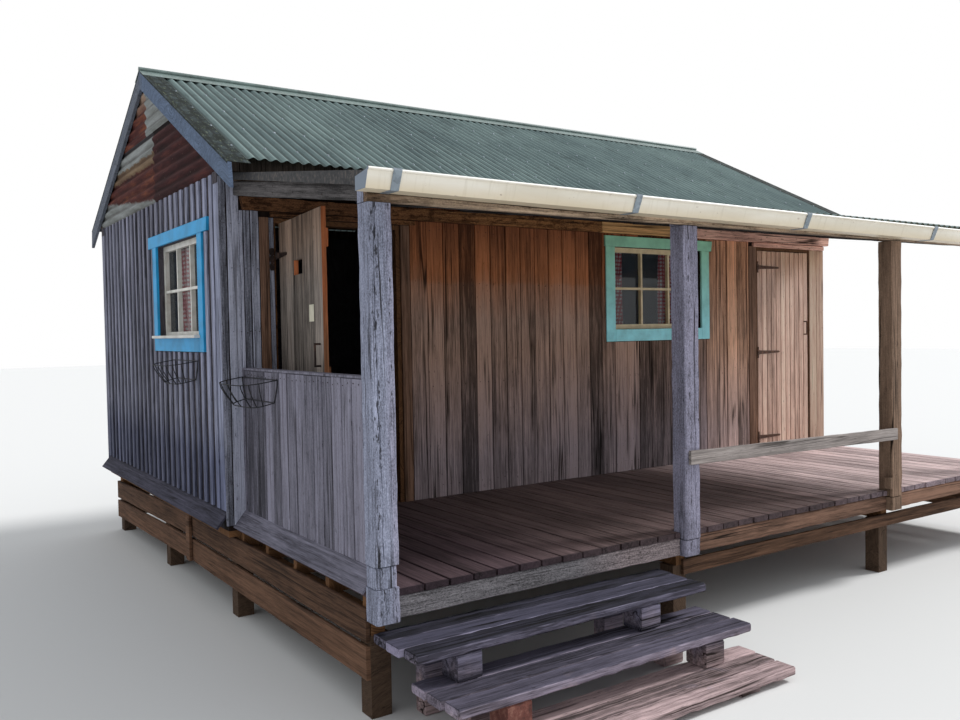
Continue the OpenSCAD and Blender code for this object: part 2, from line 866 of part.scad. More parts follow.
// Blocks: each step's front rests on the step below, and its back on the ground
block_x = [[240, step_l - 511], [273, step_l - 356], [300, step_l - 420]];
module step_blocks() {
    color("rosybrown") in_place()
        for (i = [0 : 2], e = [0, 1]) {
            x = step_x(i) + block_x[i][e];
            back = step_y(i);
            low = step_z(i) - tread_t;
            if (i < 2)
                box([x, back - step_d + 5, step_z(i + 1)], [x + block_w, back - step_going - 5, low]);
            box([x, back - (i < 2 ? 100 : step_d - 20), 0], [x + block_w, back - 5, low]);
        }
}

// Boards round a window on a wall's face, drawn from the opening's low corner
module casing(over) {
    for (x = [-casing_w, window_w])
        translate([x, -casing_w]) square([casing_w, window_h + casing_w + 1]);
    translate([-1, -casing_w]) square([window_w + 2, casing_w]);
    polygon([[-casing_w - over[0], window_h], [-casing_w - over[0], window_h + head_h],
        [window_w + casing_w + over[1] + 0.15 * head_h, window_h + head_h],
        [window_w + casing_w + over[1], window_h]]);
}

// Places a window's pieces on the front wall or on the left end wall
module on_front() {
    translate([front_window_x, 0, sill_z]) rotate([90, 0, 0]) children();
}

module on_left_end() {
    translate([0, end_window_y, sill_z]) rotate([90, 0, -90]) mirror([1, 0, 0]) children();
}

module front_window_trim() {
    color("mediumaquamarine") in_place() on_front() linear_extrude(casing_t)
        casing([6, 28]);
}

module end_window_trims() {
    color("deepskyblue") in_place() both_ends() on_left_end() linear_extrude(casing_t)
        casing([head_over, head_over]);
}

// A six pane sash behind the wall's face
module sash() {
    pane_w = (window_w - 2 * stile_w - (pane_cols - 1) * bar_w) / pane_cols;
    pane_h = (window_h - 2 * stile_w - bar_w) / 2;
    translate([0, 0, -sash_recess - sash_t]) linear_extrude(sash_t) difference() {
        square([window_w, window_h]);
        for (c = [0 : pane_cols - 1], r = [0, 1])
            translate([stile_w + c * (pane_w + bar_w), stile_w + r * (pane_h + bar_w)])
                square([pane_w, pane_h]);
    }
}

module window_sashes() {
    color("ivory") in_place() {
        on_front() sash();
        both_ends() on_left_end() sash();
    }
}

module pane() {
    translate([0, 0, -sash_recess - sash_t - glass_t])
        cube([window_w, window_h, glass_t]);
}

module window_glass() {
    color("lightcyan", 0.4) in_place() {
        on_front() pane();
        both_ends() on_left_end() pane();
    }
}

// Jambs, head and sill of a doorway, as thick as the wall
module door_frame(x, w) {
    difference() {
        box([x - jamb_t, 0, base_h], [x + w + jamb_t, wall_t, door_top_z + jamb_t]);
        box([x, -1, floor_top], [x + w, wall_t + 1, door_top_z]);
    }
}

module front_door_frame() {
    color("peru") in_place() door_frame(front_door_x, front_door_w);
}

module store_door_frame() {
    color("sienna") in_place() door_frame(store_door_x, store_door_w);
}

// A boarded door with three ledges, closed, from its hinge line
door_h = door_top - floor_t - 2 * door_gap;
module door_leaf(w) {
    leaf_w = w - 2 * door_gap;
    translate([door_gap, 0, 0]) {
        cube([leaf_w, door_t, door_h]);
        for (z = [120, (door_h - ledge_h) / 2, door_h - 120 - ledge_h])
            translate([40, door_t, z]) cube([leaf_w - 80, ledge_t, ledge_h]);
    }
}

// A strap hinge with its knuckle on the hinge line
module strap_hinge(z, length) {
    neck = door_gap + 5;
    translate([0, -hinge_y, z]) cylinder(r = knuckle_r, h = strap_h + 12, $fn = 32);
    translate([0, 0, z + 6 + strap_h / 2]) rotate([90, 0, 0]) linear_extrude(strap_t) polygon([
        [neck, -strap_h / 2], [length, -strap_h / 4], [length + 12, 0], [length, strap_h / 4],
        [neck, strap_h / 2]]);
    translate([0, 0, z + 6]) linear_extrude(strap_h) polygon([[0, -hinge_y - knuckle_r + 1],
        [neck + 12, -strap_t], [neck + 12, 0], [neck, 0], [0, -hinge_y + knuckle_r - 1]]);
}

// A bent rod handle standing off the door
module pull_handle(x, z) {
    bend = handle_reach - handle_r;
    translate([x, 0, z]) {
        for (s = [0, 1])
            translate([0, 0, s * handle_h]) rotate([90, 0, 0])
                cylinder(r = handle_r, h = handle_reach, $fn = 24);
        translate([0, -bend, 0]) cylinder(r = handle_r, h = handle_h, $fn = 24);
    }
}

module front_hinge() {
    translate([front_door_x, -hinge_y, floor_top + door_gap]) rotate([0, 0, -door_rest])
        translate([0, hinge_y, 0]) children();
}

module front_door() {
    color("tan") in_place() front_hinge() door_leaf(front_door_w);
}

module front_door_iron() {
    color("dimgray") in_place() front_hinge() {
        for (z = [0.116, 0.88] * door_h)
            strap_hinge(z, 0.2 * front_door_w);
        pull_handle(0.923 * front_door_w, 0.53 * door_h);
    }
}

module store_door() {
    color("sienna") in_place() translate([store_door_x, 0, floor_top + door_gap])
        door_leaf(store_door_w);
}

module store_door_iron() {
    color("dimgray") in_place() translate([store_door_x, 0, floor_top + door_gap]) {
        for (z = [0.06, 0.483, 0.906] * door_h)
            strap_hinge(z, strap_l);
        pull_handle(0.913 * store_door_w, 0.58 * door_h);
    }
}

floor_stumps();
floor_bearers();
floor_joists();
floor_boards();
plinth_boards();
front_wall_left();
front_wall_middle();
front_wall_right();
door_lintels();
left_wall();
right_wall();
back_wall();
wall_plates();
rafters_front();
rafters_back();
ridge_board();
roof_battens_front();
roof_battens_back();
roof_sheets_front();
roof_sheets_back();
ridge_cap();
verge_flashings();
bargeboards();
eave_boards();
gable_sheets_left();
gable_sheets_right();
veranda_ledger();
veranda_rafters();
veranda_battens();
veranda_roof_sheets();
veranda_beam();
gutter();
gutter_straps();
veranda_posts();
post_packers();
deck_boards();
deck_joists();
deck_bearers();
deck_front_beam();
half_wall_left();
veranda_rails();
drip_boards();
step_top();
step_middle();
step_bottom();
step_blocks();
front_window_trim();
end_window_trims();
window_sashes();
window_glass();
front_door_frame();
store_door_frame();
front_door();
front_door_iron();
store_door();
store_door_iron();
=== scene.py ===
import math
import random

import bmesh
import bpy
from mathutils import Matrix, Vector


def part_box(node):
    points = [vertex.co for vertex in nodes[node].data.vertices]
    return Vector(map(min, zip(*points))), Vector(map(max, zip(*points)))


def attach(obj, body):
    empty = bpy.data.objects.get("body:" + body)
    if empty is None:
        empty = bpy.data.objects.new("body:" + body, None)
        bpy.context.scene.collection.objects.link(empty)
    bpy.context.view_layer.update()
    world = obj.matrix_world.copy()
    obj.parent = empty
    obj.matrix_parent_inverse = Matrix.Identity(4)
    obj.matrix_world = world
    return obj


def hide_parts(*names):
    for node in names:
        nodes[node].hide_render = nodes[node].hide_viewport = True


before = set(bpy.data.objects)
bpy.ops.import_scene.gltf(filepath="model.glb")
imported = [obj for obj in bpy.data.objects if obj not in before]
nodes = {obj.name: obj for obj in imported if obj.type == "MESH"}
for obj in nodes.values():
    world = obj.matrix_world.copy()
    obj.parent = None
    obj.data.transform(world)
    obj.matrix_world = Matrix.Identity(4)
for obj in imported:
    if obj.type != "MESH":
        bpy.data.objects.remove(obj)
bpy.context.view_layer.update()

# Places in the hut's own measure: millimetres, X from the left end of the front wall,
# Y from the front wall's face towards the back, Z from the ground
MM = 0.001
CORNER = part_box("front_wall_left")[0]
HUT_X, HUT_Y = CORNER.x, CORNER.y

HOUSE_L, HOUSE_W = 6360, 3550
BASE, FLOOR = 600, 635
PLATE, EAVE_TOP = 2945, 3048
PITCH = math.radians(27.3)
RIDGE_Y = HOUSE_W / 2
IRON_RIDGE = 4004.3
IRON_START, VERANDA_START = -22.6, 70
WAVE, CREST = 76, 18.5
VERANDA_D = 1940
VERANDA_PITCH = math.radians(8.53)
VERANDA_FALL = math.tan(VERANDA_PITCH)
VERANDA_IRON = 2920
LEDGER_LOW, LEDGER_TOP = 2700, 2790
RAFTER_W, RAFTER_H, RAFTERS = 45, 95, 8
RAFTER_X = [82 + i * 6151 / (RAFTERS - 1) for i in range(RAFTERS)]
POST_X = (47, 2148, 4345, 6183)
POST_W = 130
POST_FRONT, POST_BACK = -1985, -1870
BEAM_LOW, BEAM_TOP = 2495, 2586.5
HALF_WALL_X, HALF_WALL_TOP = 110, 1667
GUTTER_X, GUTTER_Z, GUTTER_FALL = -15, 2622, math.tan(math.radians(0.4))
# The gap that keeps a board clear of the solid that it hangs on
FIT = 0.5


def place(x, y, z):
    """A point of the hut's own measure, in the row frame."""
    return Vector((HUT_X + x * MM, HUT_Y + y * MM, z * MM))


def put(name, data):
    """A new object in the scene."""
    made = bpy.data.objects.new(name, data)
    bpy.context.scene.collection.objects.link(made)
    return made


def new_mesh(name, points, edges=(), faces=()):
    """A mesh of points in the hut's own measure."""
    mesh = bpy.data.meshes.new(name)
    mesh.from_pydata([place(*p) for p in points], edges, faces)
    return mesh


def new_node(tree, kind, values=None, **settings):
    """A node with these settings and inputs; a socket among the inputs is linked."""
    made = tree.nodes.new(kind)
    for key, value in settings.items():
        setattr(made, key, value)
    for key, value in (values or {}).items():
        if isinstance(value, bpy.types.NodeSocket):
            tree.links.new(value, made.inputs[key])
        else:
            made.inputs[key].default_value = value
    return made


# Camera
CAMERA_AT = (-1859.7, -5712.3, 1876.4)
CAMERA_YAW, CAMERA_PITCH, CAMERA_ROLL = (math.radians(a) for a in (55.911, 1.828, -1.042))
FOCAL_PIXELS, PHOTO_W, SENSOR = 888.33, 960, 36


def aim_camera():
    """The camera at the photograph's place: turned by its yaw, tipped down and rolled."""
    data = bpy.data.cameras.new("view")
    data.lens, data.sensor_width = FOCAL_PIXELS / PHOTO_W * SENSOR, SENSOR
    data.clip_end = 200
    quarter = math.pi / 2
    camera = put("view", data)
    camera.matrix_world = Matrix.Translation(place(*CAMERA_AT)) @ Matrix.Rotation(
        CAMERA_YAW - quarter, 4, "Z") @ Matrix.Rotation(
        quarter - CAMERA_PITCH, 4, "X") @ Matrix.Rotation(CAMERA_ROLL, 4, "Z")
    bpy.context.scene.camera = camera


aim_camera()


# Finishes
def linear(tone):
    """A tone of three screen values as a linear colour; a linear colour or a socket as it is."""
    if not isinstance(tone, tuple) or len(tone) != 3:
        return tone
    values = [value / 255 for value in tone]
    return tuple(v / 12.92 if v <= 0.04045 else ((v + 0.055) / 1.055) ** 2.4 for v in values) + (1,)


def shades(tone, *shares):
    """Darker and lighter tones of one, by these shares."""
    return [tuple(min(1, value * share) for value in linear(tone)[:3]) + (1,) for share in shares]


FINISHED = {}


class Finish:
    """One material's nodes, with short calls for the ones that the hut's finishes share."""

    def __init__(self, name, roughness, metallic=0.0, gloss=0.5):
        made = FINISHED[name] = bpy.data.materials.new(name)
        made.use_nodes = True
        self.tree = made.node_tree
        self.tree.nodes.clear()
        self.shader = self.node("ShaderNodeBsdfPrincipled", {
            "Roughness": roughness, "Metallic": metallic, "Specular IOR Level": gloss})
        self.node("ShaderNodeOutputMaterial", {"Surface": self.shader.outputs["BSDF"]})
        self.where = self.node("ShaderNodeTexCoord").outputs["Object"]
        self.x, self.y, self.z = self.node("ShaderNodeSeparateXYZ", {0: self.where}).outputs

    def node(self, kind, values=None, **settings):
        return new_node(self.tree, kind, values, **settings)

    def sum(self, operation, first, second=0.0, third=0.0):
        made = self.node("ShaderNodeMath", {0: first, 1: second, 2: third}, operation=operation)
        return made.outputs[0]

    def apart(self, first, second):
        """How far two values are apart."""
        return self.sum("ABSOLUTE", self.sum("SUBTRACT", first, second))

    def blend(self, *parts):
        """The sum of (value, share) pairs."""
        total = self.sum("MULTIPLY", *parts[0])
        for value, share in parts[1:]:
            total = self.sum("MULTIPLY_ADD", value, share, total)
        return total

    def swayed(self, value, sway, width):
        """The value moved by up to half the width either way, as sway runs from 0 to 1."""
        return self.sum("ADD", value, self.sum("MULTIPLY_ADD", sway, width, -width / 2))

    def noise(self, scale, detail=4.0, rough=0.55, where=None):
        """Noise with one scale, or with a scale for each axis."""
        where = where or self.where
        if isinstance(scale, tuple):
            where = self.node("ShaderNodeVectorMath", {0: where, 1: scale},
                              operation="MULTIPLY").outputs[0]
            scale = 1
        made = self.node("ShaderNodeTexNoise", {"Vector": where, "Scale": scale,
                                                "Detail": detail, "Roughness": rough})
        return made.outputs[0]

    def reach(self, value, low, high, first=0.0, last=1.0):
        """Value spread so that low gives first and high gives last, and no further."""
        made = self.node("ShaderNodeMapRange", {0: value, 1: low, 2: high, 3: first, 4: last})
        return made.outputs[0]

    def above(self, value, limit, soft, start=0.0):
        """One where the value is over a limit in millimetres, none where it is under."""
        return self.reach(value, start + (limit - soft) * MM, start + (limit + soft) * MM)

    def wave(self, value, start):
        """The height of a sheet's waves, counted from a start in metres."""
        turn = self.sum("MULTIPLY", self.sum("SUBTRACT", value, start), 2 * math.pi / (WAVE * MM))
        return self.sum("COSINE", turn)

    def ramp(self, value, *tones, middle=0.5):
        """Two tones as the value runs from 0 to 1, or three with one at the middle."""
        made = self.node("ShaderNodeValToRGB", {0: value})
        marks = made.color_ramp.elements
        while len(marks) < len(tones):
            marks.new(0.5)
        for mark, position, tone in zip(marks, (0, middle, 1)[::4 - len(tones)], tones):
            mark.position, mark.color = position, linear(tone)
        return made.outputs[0]

    def mix(self, share, first, second, blend="MIX"):
        made = self.node("ShaderNodeMix", {0: share, 6: linear(first), 7: linear(second)},
                         data_type="RGBA", blend_type=blend)
        return made.outputs[2]

    def tinted(self, share, tone, ratio):
        """The tone times a ratio of red, green and blue, by a share."""
        return self.mix(share, tone, self.mix(1.0, tone, (*ratio, 1), "MULTIPLY"))

    def colour(self, socket):
        self.tree.links.new(socket, self.shader.inputs["Base Color"])

    def relief(self, height, distance, strength=0.8):
        made = self.node("ShaderNodeBump", {"Height": height, "Distance": distance,
                                            "Strength": strength})
        self.tree.links.new(made.outputs[0], self.shader.inputs["Normal"])

    def attribute(self, name, output):
        return self.node("ShaderNodeAttribute", attribute_name=name).outputs[output]


def along_slope(wood, slant, fall):
    """Where a point lies once sloping boards are laid level."""
    if slant is not None:
        out = wood.apart(wood.y, HUT_Y + RIDGE_Y * MM)
        run = wood.blend((out, math.cos(slant)), (wood.z, -math.sin(slant)))
        rise = wood.blend((out, math.sin(slant)), (wood.z, math.cos(slant)))
    elif fall:
        run, rise = wood.y, wood.sum("MULTIPLY_ADD", wood.y, -fall, wood.z)
    else:
        return wood.where
    return wood.node("ShaderNodeCombineXYZ", {0: wood.x, 1: run, 2: rise}).outputs[0]


LOT_SHIFT = (7.3, 5.1, 9.7)
ROTTEN, SPLIT = (0.3, 0.27, 0.24), (0.12, 0.11, 0.1)


def timber(name, middle, grain, boards=True, streak=52, contrast=1.0, splits=0.6, crack=0.018,
           roughness=0.88, spread=0.16, tints=(), slant=None, fall=0.0, speckle=0.0, flecks=0.3,
           seams=(), rot=0.0):
    """Weathered timber: streaks and fibres along the grain, blotches, flecks and dark splits.

    boards = each board's own value shifts its pattern and, by spread, its shade.
    tints = (axis, low, high, ratio): the colour times ratio as the axis runs from low to high,
    with a wandering edge unless a fifth entry gives its width.
    slant = a slope in radians, for boards that run up and down both slopes of the roof.
    fall = how far boards along Y rise for each step towards the back.
    speckle, flecks, splits, rot = how much grit, dark flecks, splits and rotten stain it has.
    seams = (x, half width) of upright cracked bands, dense with dark flecks.
    """
    wood = Finish(name, roughness, gloss=0.15)
    lot = wood.attribute("shade", "Fac") if boards else wood.noise(0.9, 1)
    step = wood.node("ShaderNodeVectorMath", {0: lot, 1: LOT_SHIFT, 2: along_slope(wood, slant, fall)},
                     operation="MULTIPLY_ADD").outputs[0]

    def pattern(across, along, detail, rough=0.55):
        scale = tuple(along if axis in grain else across for axis in "xyz")
        return wood.noise(scale, detail, rough, step)

    streaks, fibres = pattern(streak, 1.5, 5, 0.68), pattern(210, 8, 3, 0.65)
    level = wood.blend((streaks, 0.5 - speckle / 2), (fibres, 0.28), (pattern(7, 1.6, 6, 0.66), 0.22))
    if speckle:
        level = wood.blend((pattern(150, 90, 4, 0.75), speckle), (level, 1), (0.5, -speckle / 2))
    if boards:
        level = wood.swayed(level, lot, spread)
    half = 0.15 / contrast
    tone = wood.ramp(wood.reach(level, 0.5 - half, 0.5 + half), *shades(middle, 0.3, 1, 1.75))
    wander = wood.noise((9, 9, 0.6), 2, where=step)
    ways = {"x": (wood.x, HUT_X, 0.1), "y": (wood.y, HUT_Y, 0.1), "z": (wood.z, 0, 0.3)}
    for axis, low, high, ratio, *edge in tints:
        value, start, loose = ways[axis]
        value = wood.swayed(value, wander, edge[0] if edge else loose)
        tone = wood.tinted(wood.reach(value, start + low * MM, start + high * MM), tone, ratio)
    stains = wood.reach(pattern(24, 9, 5, 0.7), 0.5, 0.57, 0, rot)
    tone = wood.tinted(stains, tone, ROTTEN)
    off_line = wood.apart(pattern(15, 0.3, 2, 0.5), 0.5)
    open_here = wood.reach(pattern(5, 1.1, 2), 0.48, 0.56, 0, splits)
    split = wood.sum("MULTIPLY", wood.reach(off_line, crack / 3, crack, 1, 0), open_here)
    fleck = pattern(75, 18, 3, 0.65)
    for at, half_width in seams:
        off = wood.swayed(wood.apart(wood.x, HUT_X + at * MM), wander, 0.02)
        fleck = wood.sum("ADD", fleck, wood.reach(off, 0, half_width * MM, 0.13, 0))
    split = wood.sum("MAXIMUM", split, wood.reach(fleck, 0.64, 0.7, 0, flecks))
    wood.colour(wood.tinted(split, tone, SPLIT))
    wood.relief(wood.blend((streaks, 0.7), (fibres, 0.5), (split, -1.0)), 0.003)


BARE_WOOD = (120, 108, 96)


def painted(name, colour, wear, colour_below_painted_shade=None):
    """Brushed house paint on timber, uneven and thin in places; a second colour, where given, makes a
    painted warm shade: the first colour high up, shifting to the second colour low.
    """
    coat = Finish(name, 0.5, gloss=0.2)
    brush = coat.noise((60, 60, 60), 3)
    level = coat.reach(coat.noise(7), 0.35, 0.65)
    tone = coat.ramp(level, *shades(colour, 0.84, 1, 1.12))
    # Painted warm shade: the first colour high up, the second low down
    if colour_below_painted_shade:
        low = coat.ramp(level, *shades(colour_below_painted_shade, 0.84, 1, 1.12))
        tone = coat.mix(coat.reach(coat.z, 2.62, 1.85), tone, low)
    worn = coat.reach(coat.blend((brush, 0.4), (coat.noise(21, 5, 0.7), 0.6)), 0.62, 0.68, 0, wear)
    coat.colour(coat.mix(worn, tone, BARE_WOOD))
    coat.relief(coat.sum("SUBTRACT", brush, worn), 0.0008, 0.5)


def rust_specks(iron, amount, size=30):
    return iron.reach(iron.noise(size, 5, 0.7), 0.66, 0.72, 0, amount)


RUST, MOSS, SCUFF = (86, 50, 34), (22, 28, 24), (104, 112, 92)


def roof_iron(name, start, base, crest, dirt_and_shade, rust, moss=0.0, gloss=0.15):
    """Faded corrugated iron: paler on the crests than in the valleys, which hold dirt and painted shade,
    with grime and rust specks.
    """
    iron = Finish(name, 0.65, gloss=gloss)
    high = iron.reach(iron.wave(iron.x, HUT_X + start * MM), 0.97, 0.2)
    drift = iron.noise((1.6, 0.9, 0.9), 5, 0.6)
    sheet = iron.noise((1.31, 0.05, 0.05), 0)
    tone = iron.mix(iron.reach(drift, 0.35, 0.65), base, crest)
    # Dirt and painted shade: a near-black line along each valley
    tone = iron.mix(high, iron.mix(0.9, tone, dirt_and_shade), tone)
    tone = iron.mix(iron.reach(sheet, 0.4, 0.6, 0, 0.25), tone, crest)
    grime = iron.noise((22, 3.5, 3.5), 6, 0.75)
    tone = iron.mix(iron.reach(grime, 0.5, 0.68, 0, 0.4), tone, dirt_and_shade)
    if moss:
        tone = iron.mix(iron.reach(iron.noise(11, 8, 0.8), 0.42, 0.54, 0, moss), tone, MOSS)
        tone = iron.mix(iron.reach(iron.noise((70, 22, 22)), 0.6, 0.66, 0, 0.55), tone, SCUFF)
    iron.colour(iron.mix(rust_specks(iron, rust), tone, RUST))
    iron.relief(grime, 0.001, 0.4)


def galvanised(name, tone, rust=0.25, metallic=0.35):
    """Dull zinc with its faint crystals and a little rust."""
    iron = Finish(name, 0.46, metallic)
    crystals = iron.node("ShaderNodeTexVoronoi", {"Vector": iron.where, "Scale": 55}).outputs["Color"]
    spangle = iron.node("ShaderNodeSeparateColor", {0: crystals}).outputs[0]
    level = iron.blend((spangle, 0.25), (iron.noise(4, 5, 0.6), 0.75))
    colour = iron.ramp(iron.reach(level, 0.3, 0.7), *shades(tone, 0.55, 1))
    iron.colour(iron.mix(rust_specks(iron, rust, 18), colour, (118, 74, 50)))
    iron.relief(level, 0.0004, 0.3)


# The gable iron: its lower sheets part at LAP_Y, its upper ones lap over them at LAP_Z
LAP_Y, UPPER_SPLIT_Y, LAP_Z = 1567, 1769, 3496
TAN_FOOT, TAN_TOP, RUST_TOP = 3262, 3345, 3760
HOLLOW, UNDER_LAP = (0.2, 0.15, 0.14), (0.16, 0.14, 0.16)


def gable_iron():
    """The gables' patched iron: a maroon sheet, a peeling one and, over them, rust and zinc."""
    iron = Finish("gable_iron", 0.85, gloss=0.1)
    wobble = iron.sum("MULTIPLY_ADD", iron.noise(9, 5, 0.65), 0.07, -0.035)
    ragged = iron.sum("ADD", iron.z, wobble)
    side = iron.sum("MULTIPLY_ADD", wobble, 0.6, iron.y)
    spread = iron.reach(iron.noise((3, 2.2, 16), 6, 0.65), 0.3, 0.7)
    fleck = iron.noise(46, 4, 0.7)
    maroon = iron.ramp(spread, (34, 18, 20), (60, 32, 33), (88, 48, 44), middle=0.55)
    rust = iron.ramp(spread, (50, 26, 28), (80, 42, 38), (124, 74, 52))
    zinc = iron.ramp(spread, (104, 106, 102), (152, 156, 156))
    tan = iron.ramp(spread, (84, 64, 52), (132, 112, 88))
    back_sheet = iron.mix(iron.above(ragged, TAN_TOP, 6),
                          iron.mix(iron.above(ragged, TAN_FOOT, 6), rust, tan), zinc)
    foot = iron.sum("SUBTRACT", ragged, iron.sum("MULTIPLY_ADD", iron.y, 0.1, -0.1 * (HUT_Y + 1.5)))
    back_sheet = iron.mix(iron.reach(foot, 2.965, 2.945), back_sheet, zinc)
    scratch = iron.reach(iron.noise((60, 60, 14), 2), 0.72, 0.75, 0, 0.7)
    front_sheet = iron.mix(scratch, maroon, (150, 130, 116))
    lower = iron.mix(iron.above(iron.y, LAP_Y, 1, HUT_Y), front_sheet, back_sheet)
    pale = iron.mix(iron.reach(fleck, 0.6, 0.7, 0, 0.5), zinc, tan)
    rusty = iron.mix(iron.above(ragged, RUST_TOP, 60), rust, (150, 128, 112))
    upper = iron.mix(iron.above(side, UPPER_SPLIT_Y, 8, HUT_Y), pale, rusty)
    tone = iron.mix(iron.above(iron.z, LAP_Z, 1), lower, upper)
    # Painted shade in the hollows of the waves
    tone = iron.tinted(iron.reach(iron.wave(iron.z, PLATE * MM), 0, 1, 0, 0.45), tone, HOLLOW)
    shadow = iron.sum("MULTIPLY", iron.above(iron.z, LAP_Z - 26, 4), iron.above(iron.z, LAP_Z, -1))
    iron.colour(iron.tinted(shadow, tone, UNDER_LAP))
    iron.relief(fleck, 0.0012, 0.5)


def cream_enamel():
    """Cream enamel on the gutter, chalky, yellower low down, with grime, rust specks and a painted highlight
    along the top lip.
    """
    coat = Finish("cream_enamel", 0.42)
    level = coat.sum("MULTIPLY_ADD", coat.x, GUTTER_FALL, coat.z)
    level = coat.sum("SUBTRACT", level, GUTTER_Z * MM + (HUT_X + GUTTER_X * MM) * GUTTER_FALL)
    drift, streaks = coat.noise((1.4, 6, 6), 5), coat.noise((34, 3, 3), 4, 0.6)
    tone = coat.mix(coat.reach(drift, 0.4, 0.62), (242, 236, 222), (228, 220, 202))
    # The third mark, a whiter top lip, is a painted highlight
    for share, grime in ((coat.reach(streaks, 0.55, 0.75, 0, 0.35), (186, 176, 152)),
                         (coat.reach(level, -0.03, -0.08, 0, 0.6), (216, 196, 158)),
                         (coat.reach(level, -0.002, 0.002, 0, 0.8), (246, 245, 240)),
                         (rust_specks(coat, 0.7, 22), (122, 78, 48))):
        tone = coat.mix(share, tone, grime)
    capped = coat.above(coat.x, GUTTER_X + 1.2, 0.1, HUT_X)
    coat.colour(coat.mix(capped, (100, 114, 130), tone))


END_SASH_X = 3.0


def sash_paint():
    """Old gloss on the sashes: cream on the front one and white on the end ones."""
    coat = Finish("sash_paint", 0.4)
    drift = coat.reach(coat.noise(12), 0.4, 0.65)
    ends = coat.reach(coat.sum("ABSOLUTE", coat.x), END_SASH_X, END_SASH_X + 0.02)
    front = coat.mix(drift, (222, 200, 160), (202, 178, 138))
    white = coat.mix(drift, (214, 212, 204), (190, 186, 176))
    coat.colour(coat.mix(ends, front, white))
    coat.relief(coat.noise(90, 2), 0.0004, 0.4)


def mottled(name, roughness, scale, tones, middle=0.5, detail=5, depth=0.0006, **settings):
    """One colour drifting into another, for wrought iron and brick."""
    made = Finish(name, roughness, **settings)
    drift = made.noise(scale, detail, 0.7)
    made.colour(made.ramp(made.reach(drift, 0.35, 0.65), *tones, middle=middle))
    made.relief(drift, depth)


def aged_iron(name, *tones, metallic=0.3):
    """Wrought iron, rusted in patches."""
    mottled(name, 0.7, 38, tones, 0.6, metallic=metallic, gloss=0.3)


def window_glass():
    glass = Finish("window_glass", 0.03, gloss=0.8).shader.inputs
    glass["Base Color"].default_value = linear((64, 72, 80))
    glass["Alpha"].default_value = 0.3


CHECK, CHECK_TONES = 0.034, ((250, 240, 236), (222, 110, 118), (186, 34, 50))


def gingham():
    """Red and white checked cotton, counted in threads from the piece's own map."""
    cloth = Finish("gingham", 0.9)
    flat = cloth.node("ShaderNodeSeparateXYZ", {0: cloth.attribute("weft", "Vector")})
    bands = []
    for side in flat.outputs[:2]:
        turn = cloth.sum("FRACT", cloth.sum("MULTIPLY", side, 1 / CHECK))
        bands.append(cloth.reach(turn, 0.48, 0.52))
    tone = cloth.ramp(cloth.sum("MULTIPLY", cloth.sum("ADD", *bands), 0.5), *CHECK_TONES)
    threads = cloth.noise(700, 1)
    cloth.colour(cloth.mix(cloth.reach(threads, 0.4, 0.7, 0, 0.18), tone, (120, 80, 76)))
    cloth.relief(threads, 0.0003, 0.4)


# Ratios by which a finish changes along the hut
# On the front wall: a soft orange band is a painted highlight; the warmer top is partly the sheltered wood's
# own colour and partly painted warm light; the darker top under the ledger is a painted shadow of the ledger
PAINTED_WARM_HIGHLIGHT, SHELTERED_AND_PAINTED_WARM_TOP = (1.0, 0.88, 0.76), (1.02, 0.66, 0.42)
PAINTED_LEDGER_SHADOW = (0.64, 0.62, 0.64)
COOL_FOOT = ("z", 1700, 900, (0.78, 0.98, 1.35))
# Darker towards the foot of the grey walls: painted shade
PAINTED_SHADE_FOOT = ("z", 1340, 1060, (0.5, 0.52, 0.6))
TREAD_LOW, TREAD_TOP = (0.32, 0.34, 0.38), (0.22, 0.23, 0.25)
FRONT_TINTS = (("z", 2238, 2268, PAINTED_WARM_HIGHLIGHT, 0.06), ("z", 1960, 2360, SHELTERED_AND_PAINTED_WARM_TOP),
               ("z", 2400, 2700, PAINTED_LEDGER_SHADOW), COOL_FOOT)
# Right of the window: a warmer top, partly sheltered wood and partly painted warm light, and lighter towards
# the right end, partly sun-bleached wood and partly painted sunlight
RIGHT_TINTS = (("z", 1900, 2500, (0.95, 0.8, 0.68)), COOL_FOOT, ("x", 4300, 4900, (1.7, 1.6, 1.45)))
POST_TINTS = (("x", 2090, 2180, (0.84, 0.82, 0.82)), ("x", 120, 170, (1.08, 1.0, 1.0)))
# The deck: darker towards the left end, a painted shade, and far lighter from 3700 mm rightwards, a painted
# pool of sunlight; its front edge darker
DECK_TINTS = (("x", 1800, 900, (0.48, 0.46, 0.54)), ("x", 3700, 4600, (3.3, 3.7, 3.8)),
              ("y", -1925, -1936, (0.4, 0.4, 0.45), 0))
STORE_TINTS = (("z", 2300, 2550, (0.85, 0.76, 0.66)), ("x", 6112, 6124, (0.68, 0.67, 0.64), 0))
# The step treads' dark tops, each a thin layer under its height
TREAD_TINTS = (("z", 110, 200, (0.62, 0.72, 0.9)), ("z", 249, 252, TREAD_LOW, 0),
               ("z", 270, 300, tuple(1 / share for share in TREAD_LOW), 0),
               ("z", 300, 385, (0.8, 0.86, 0.95)), ("z", 427, 430, TREAD_TOP, 0))

SPLIT_WIDE = {"contrast": 1.4, "crack": 0.03}
timber("front_timber", (142, 115, 101), "z", tints=FRONT_TINTS, splits=0.95, streak=70, flecks=0.5,
       spread=0.24, **SPLIT_WIDE)
timber("right_timber", (146, 117, 101), "z", tints=RIGHT_TINTS, splits=0.8, streak=60, contrast=1.2,
       crack=0.03, flecks=0.5, spread=0.2)
# Near black: the wall behind the planks, so that the grooves read as shadow, a painted shade
timber("wall_timber", (30, 20, 16), "z", boards=False)
timber("lining_timber", (96, 66, 44), "z", boards=False)
timber("silver_timber", (136, 138, 152), "z", flecks=0.6, speckle=0.2, **SPLIT_WIDE)
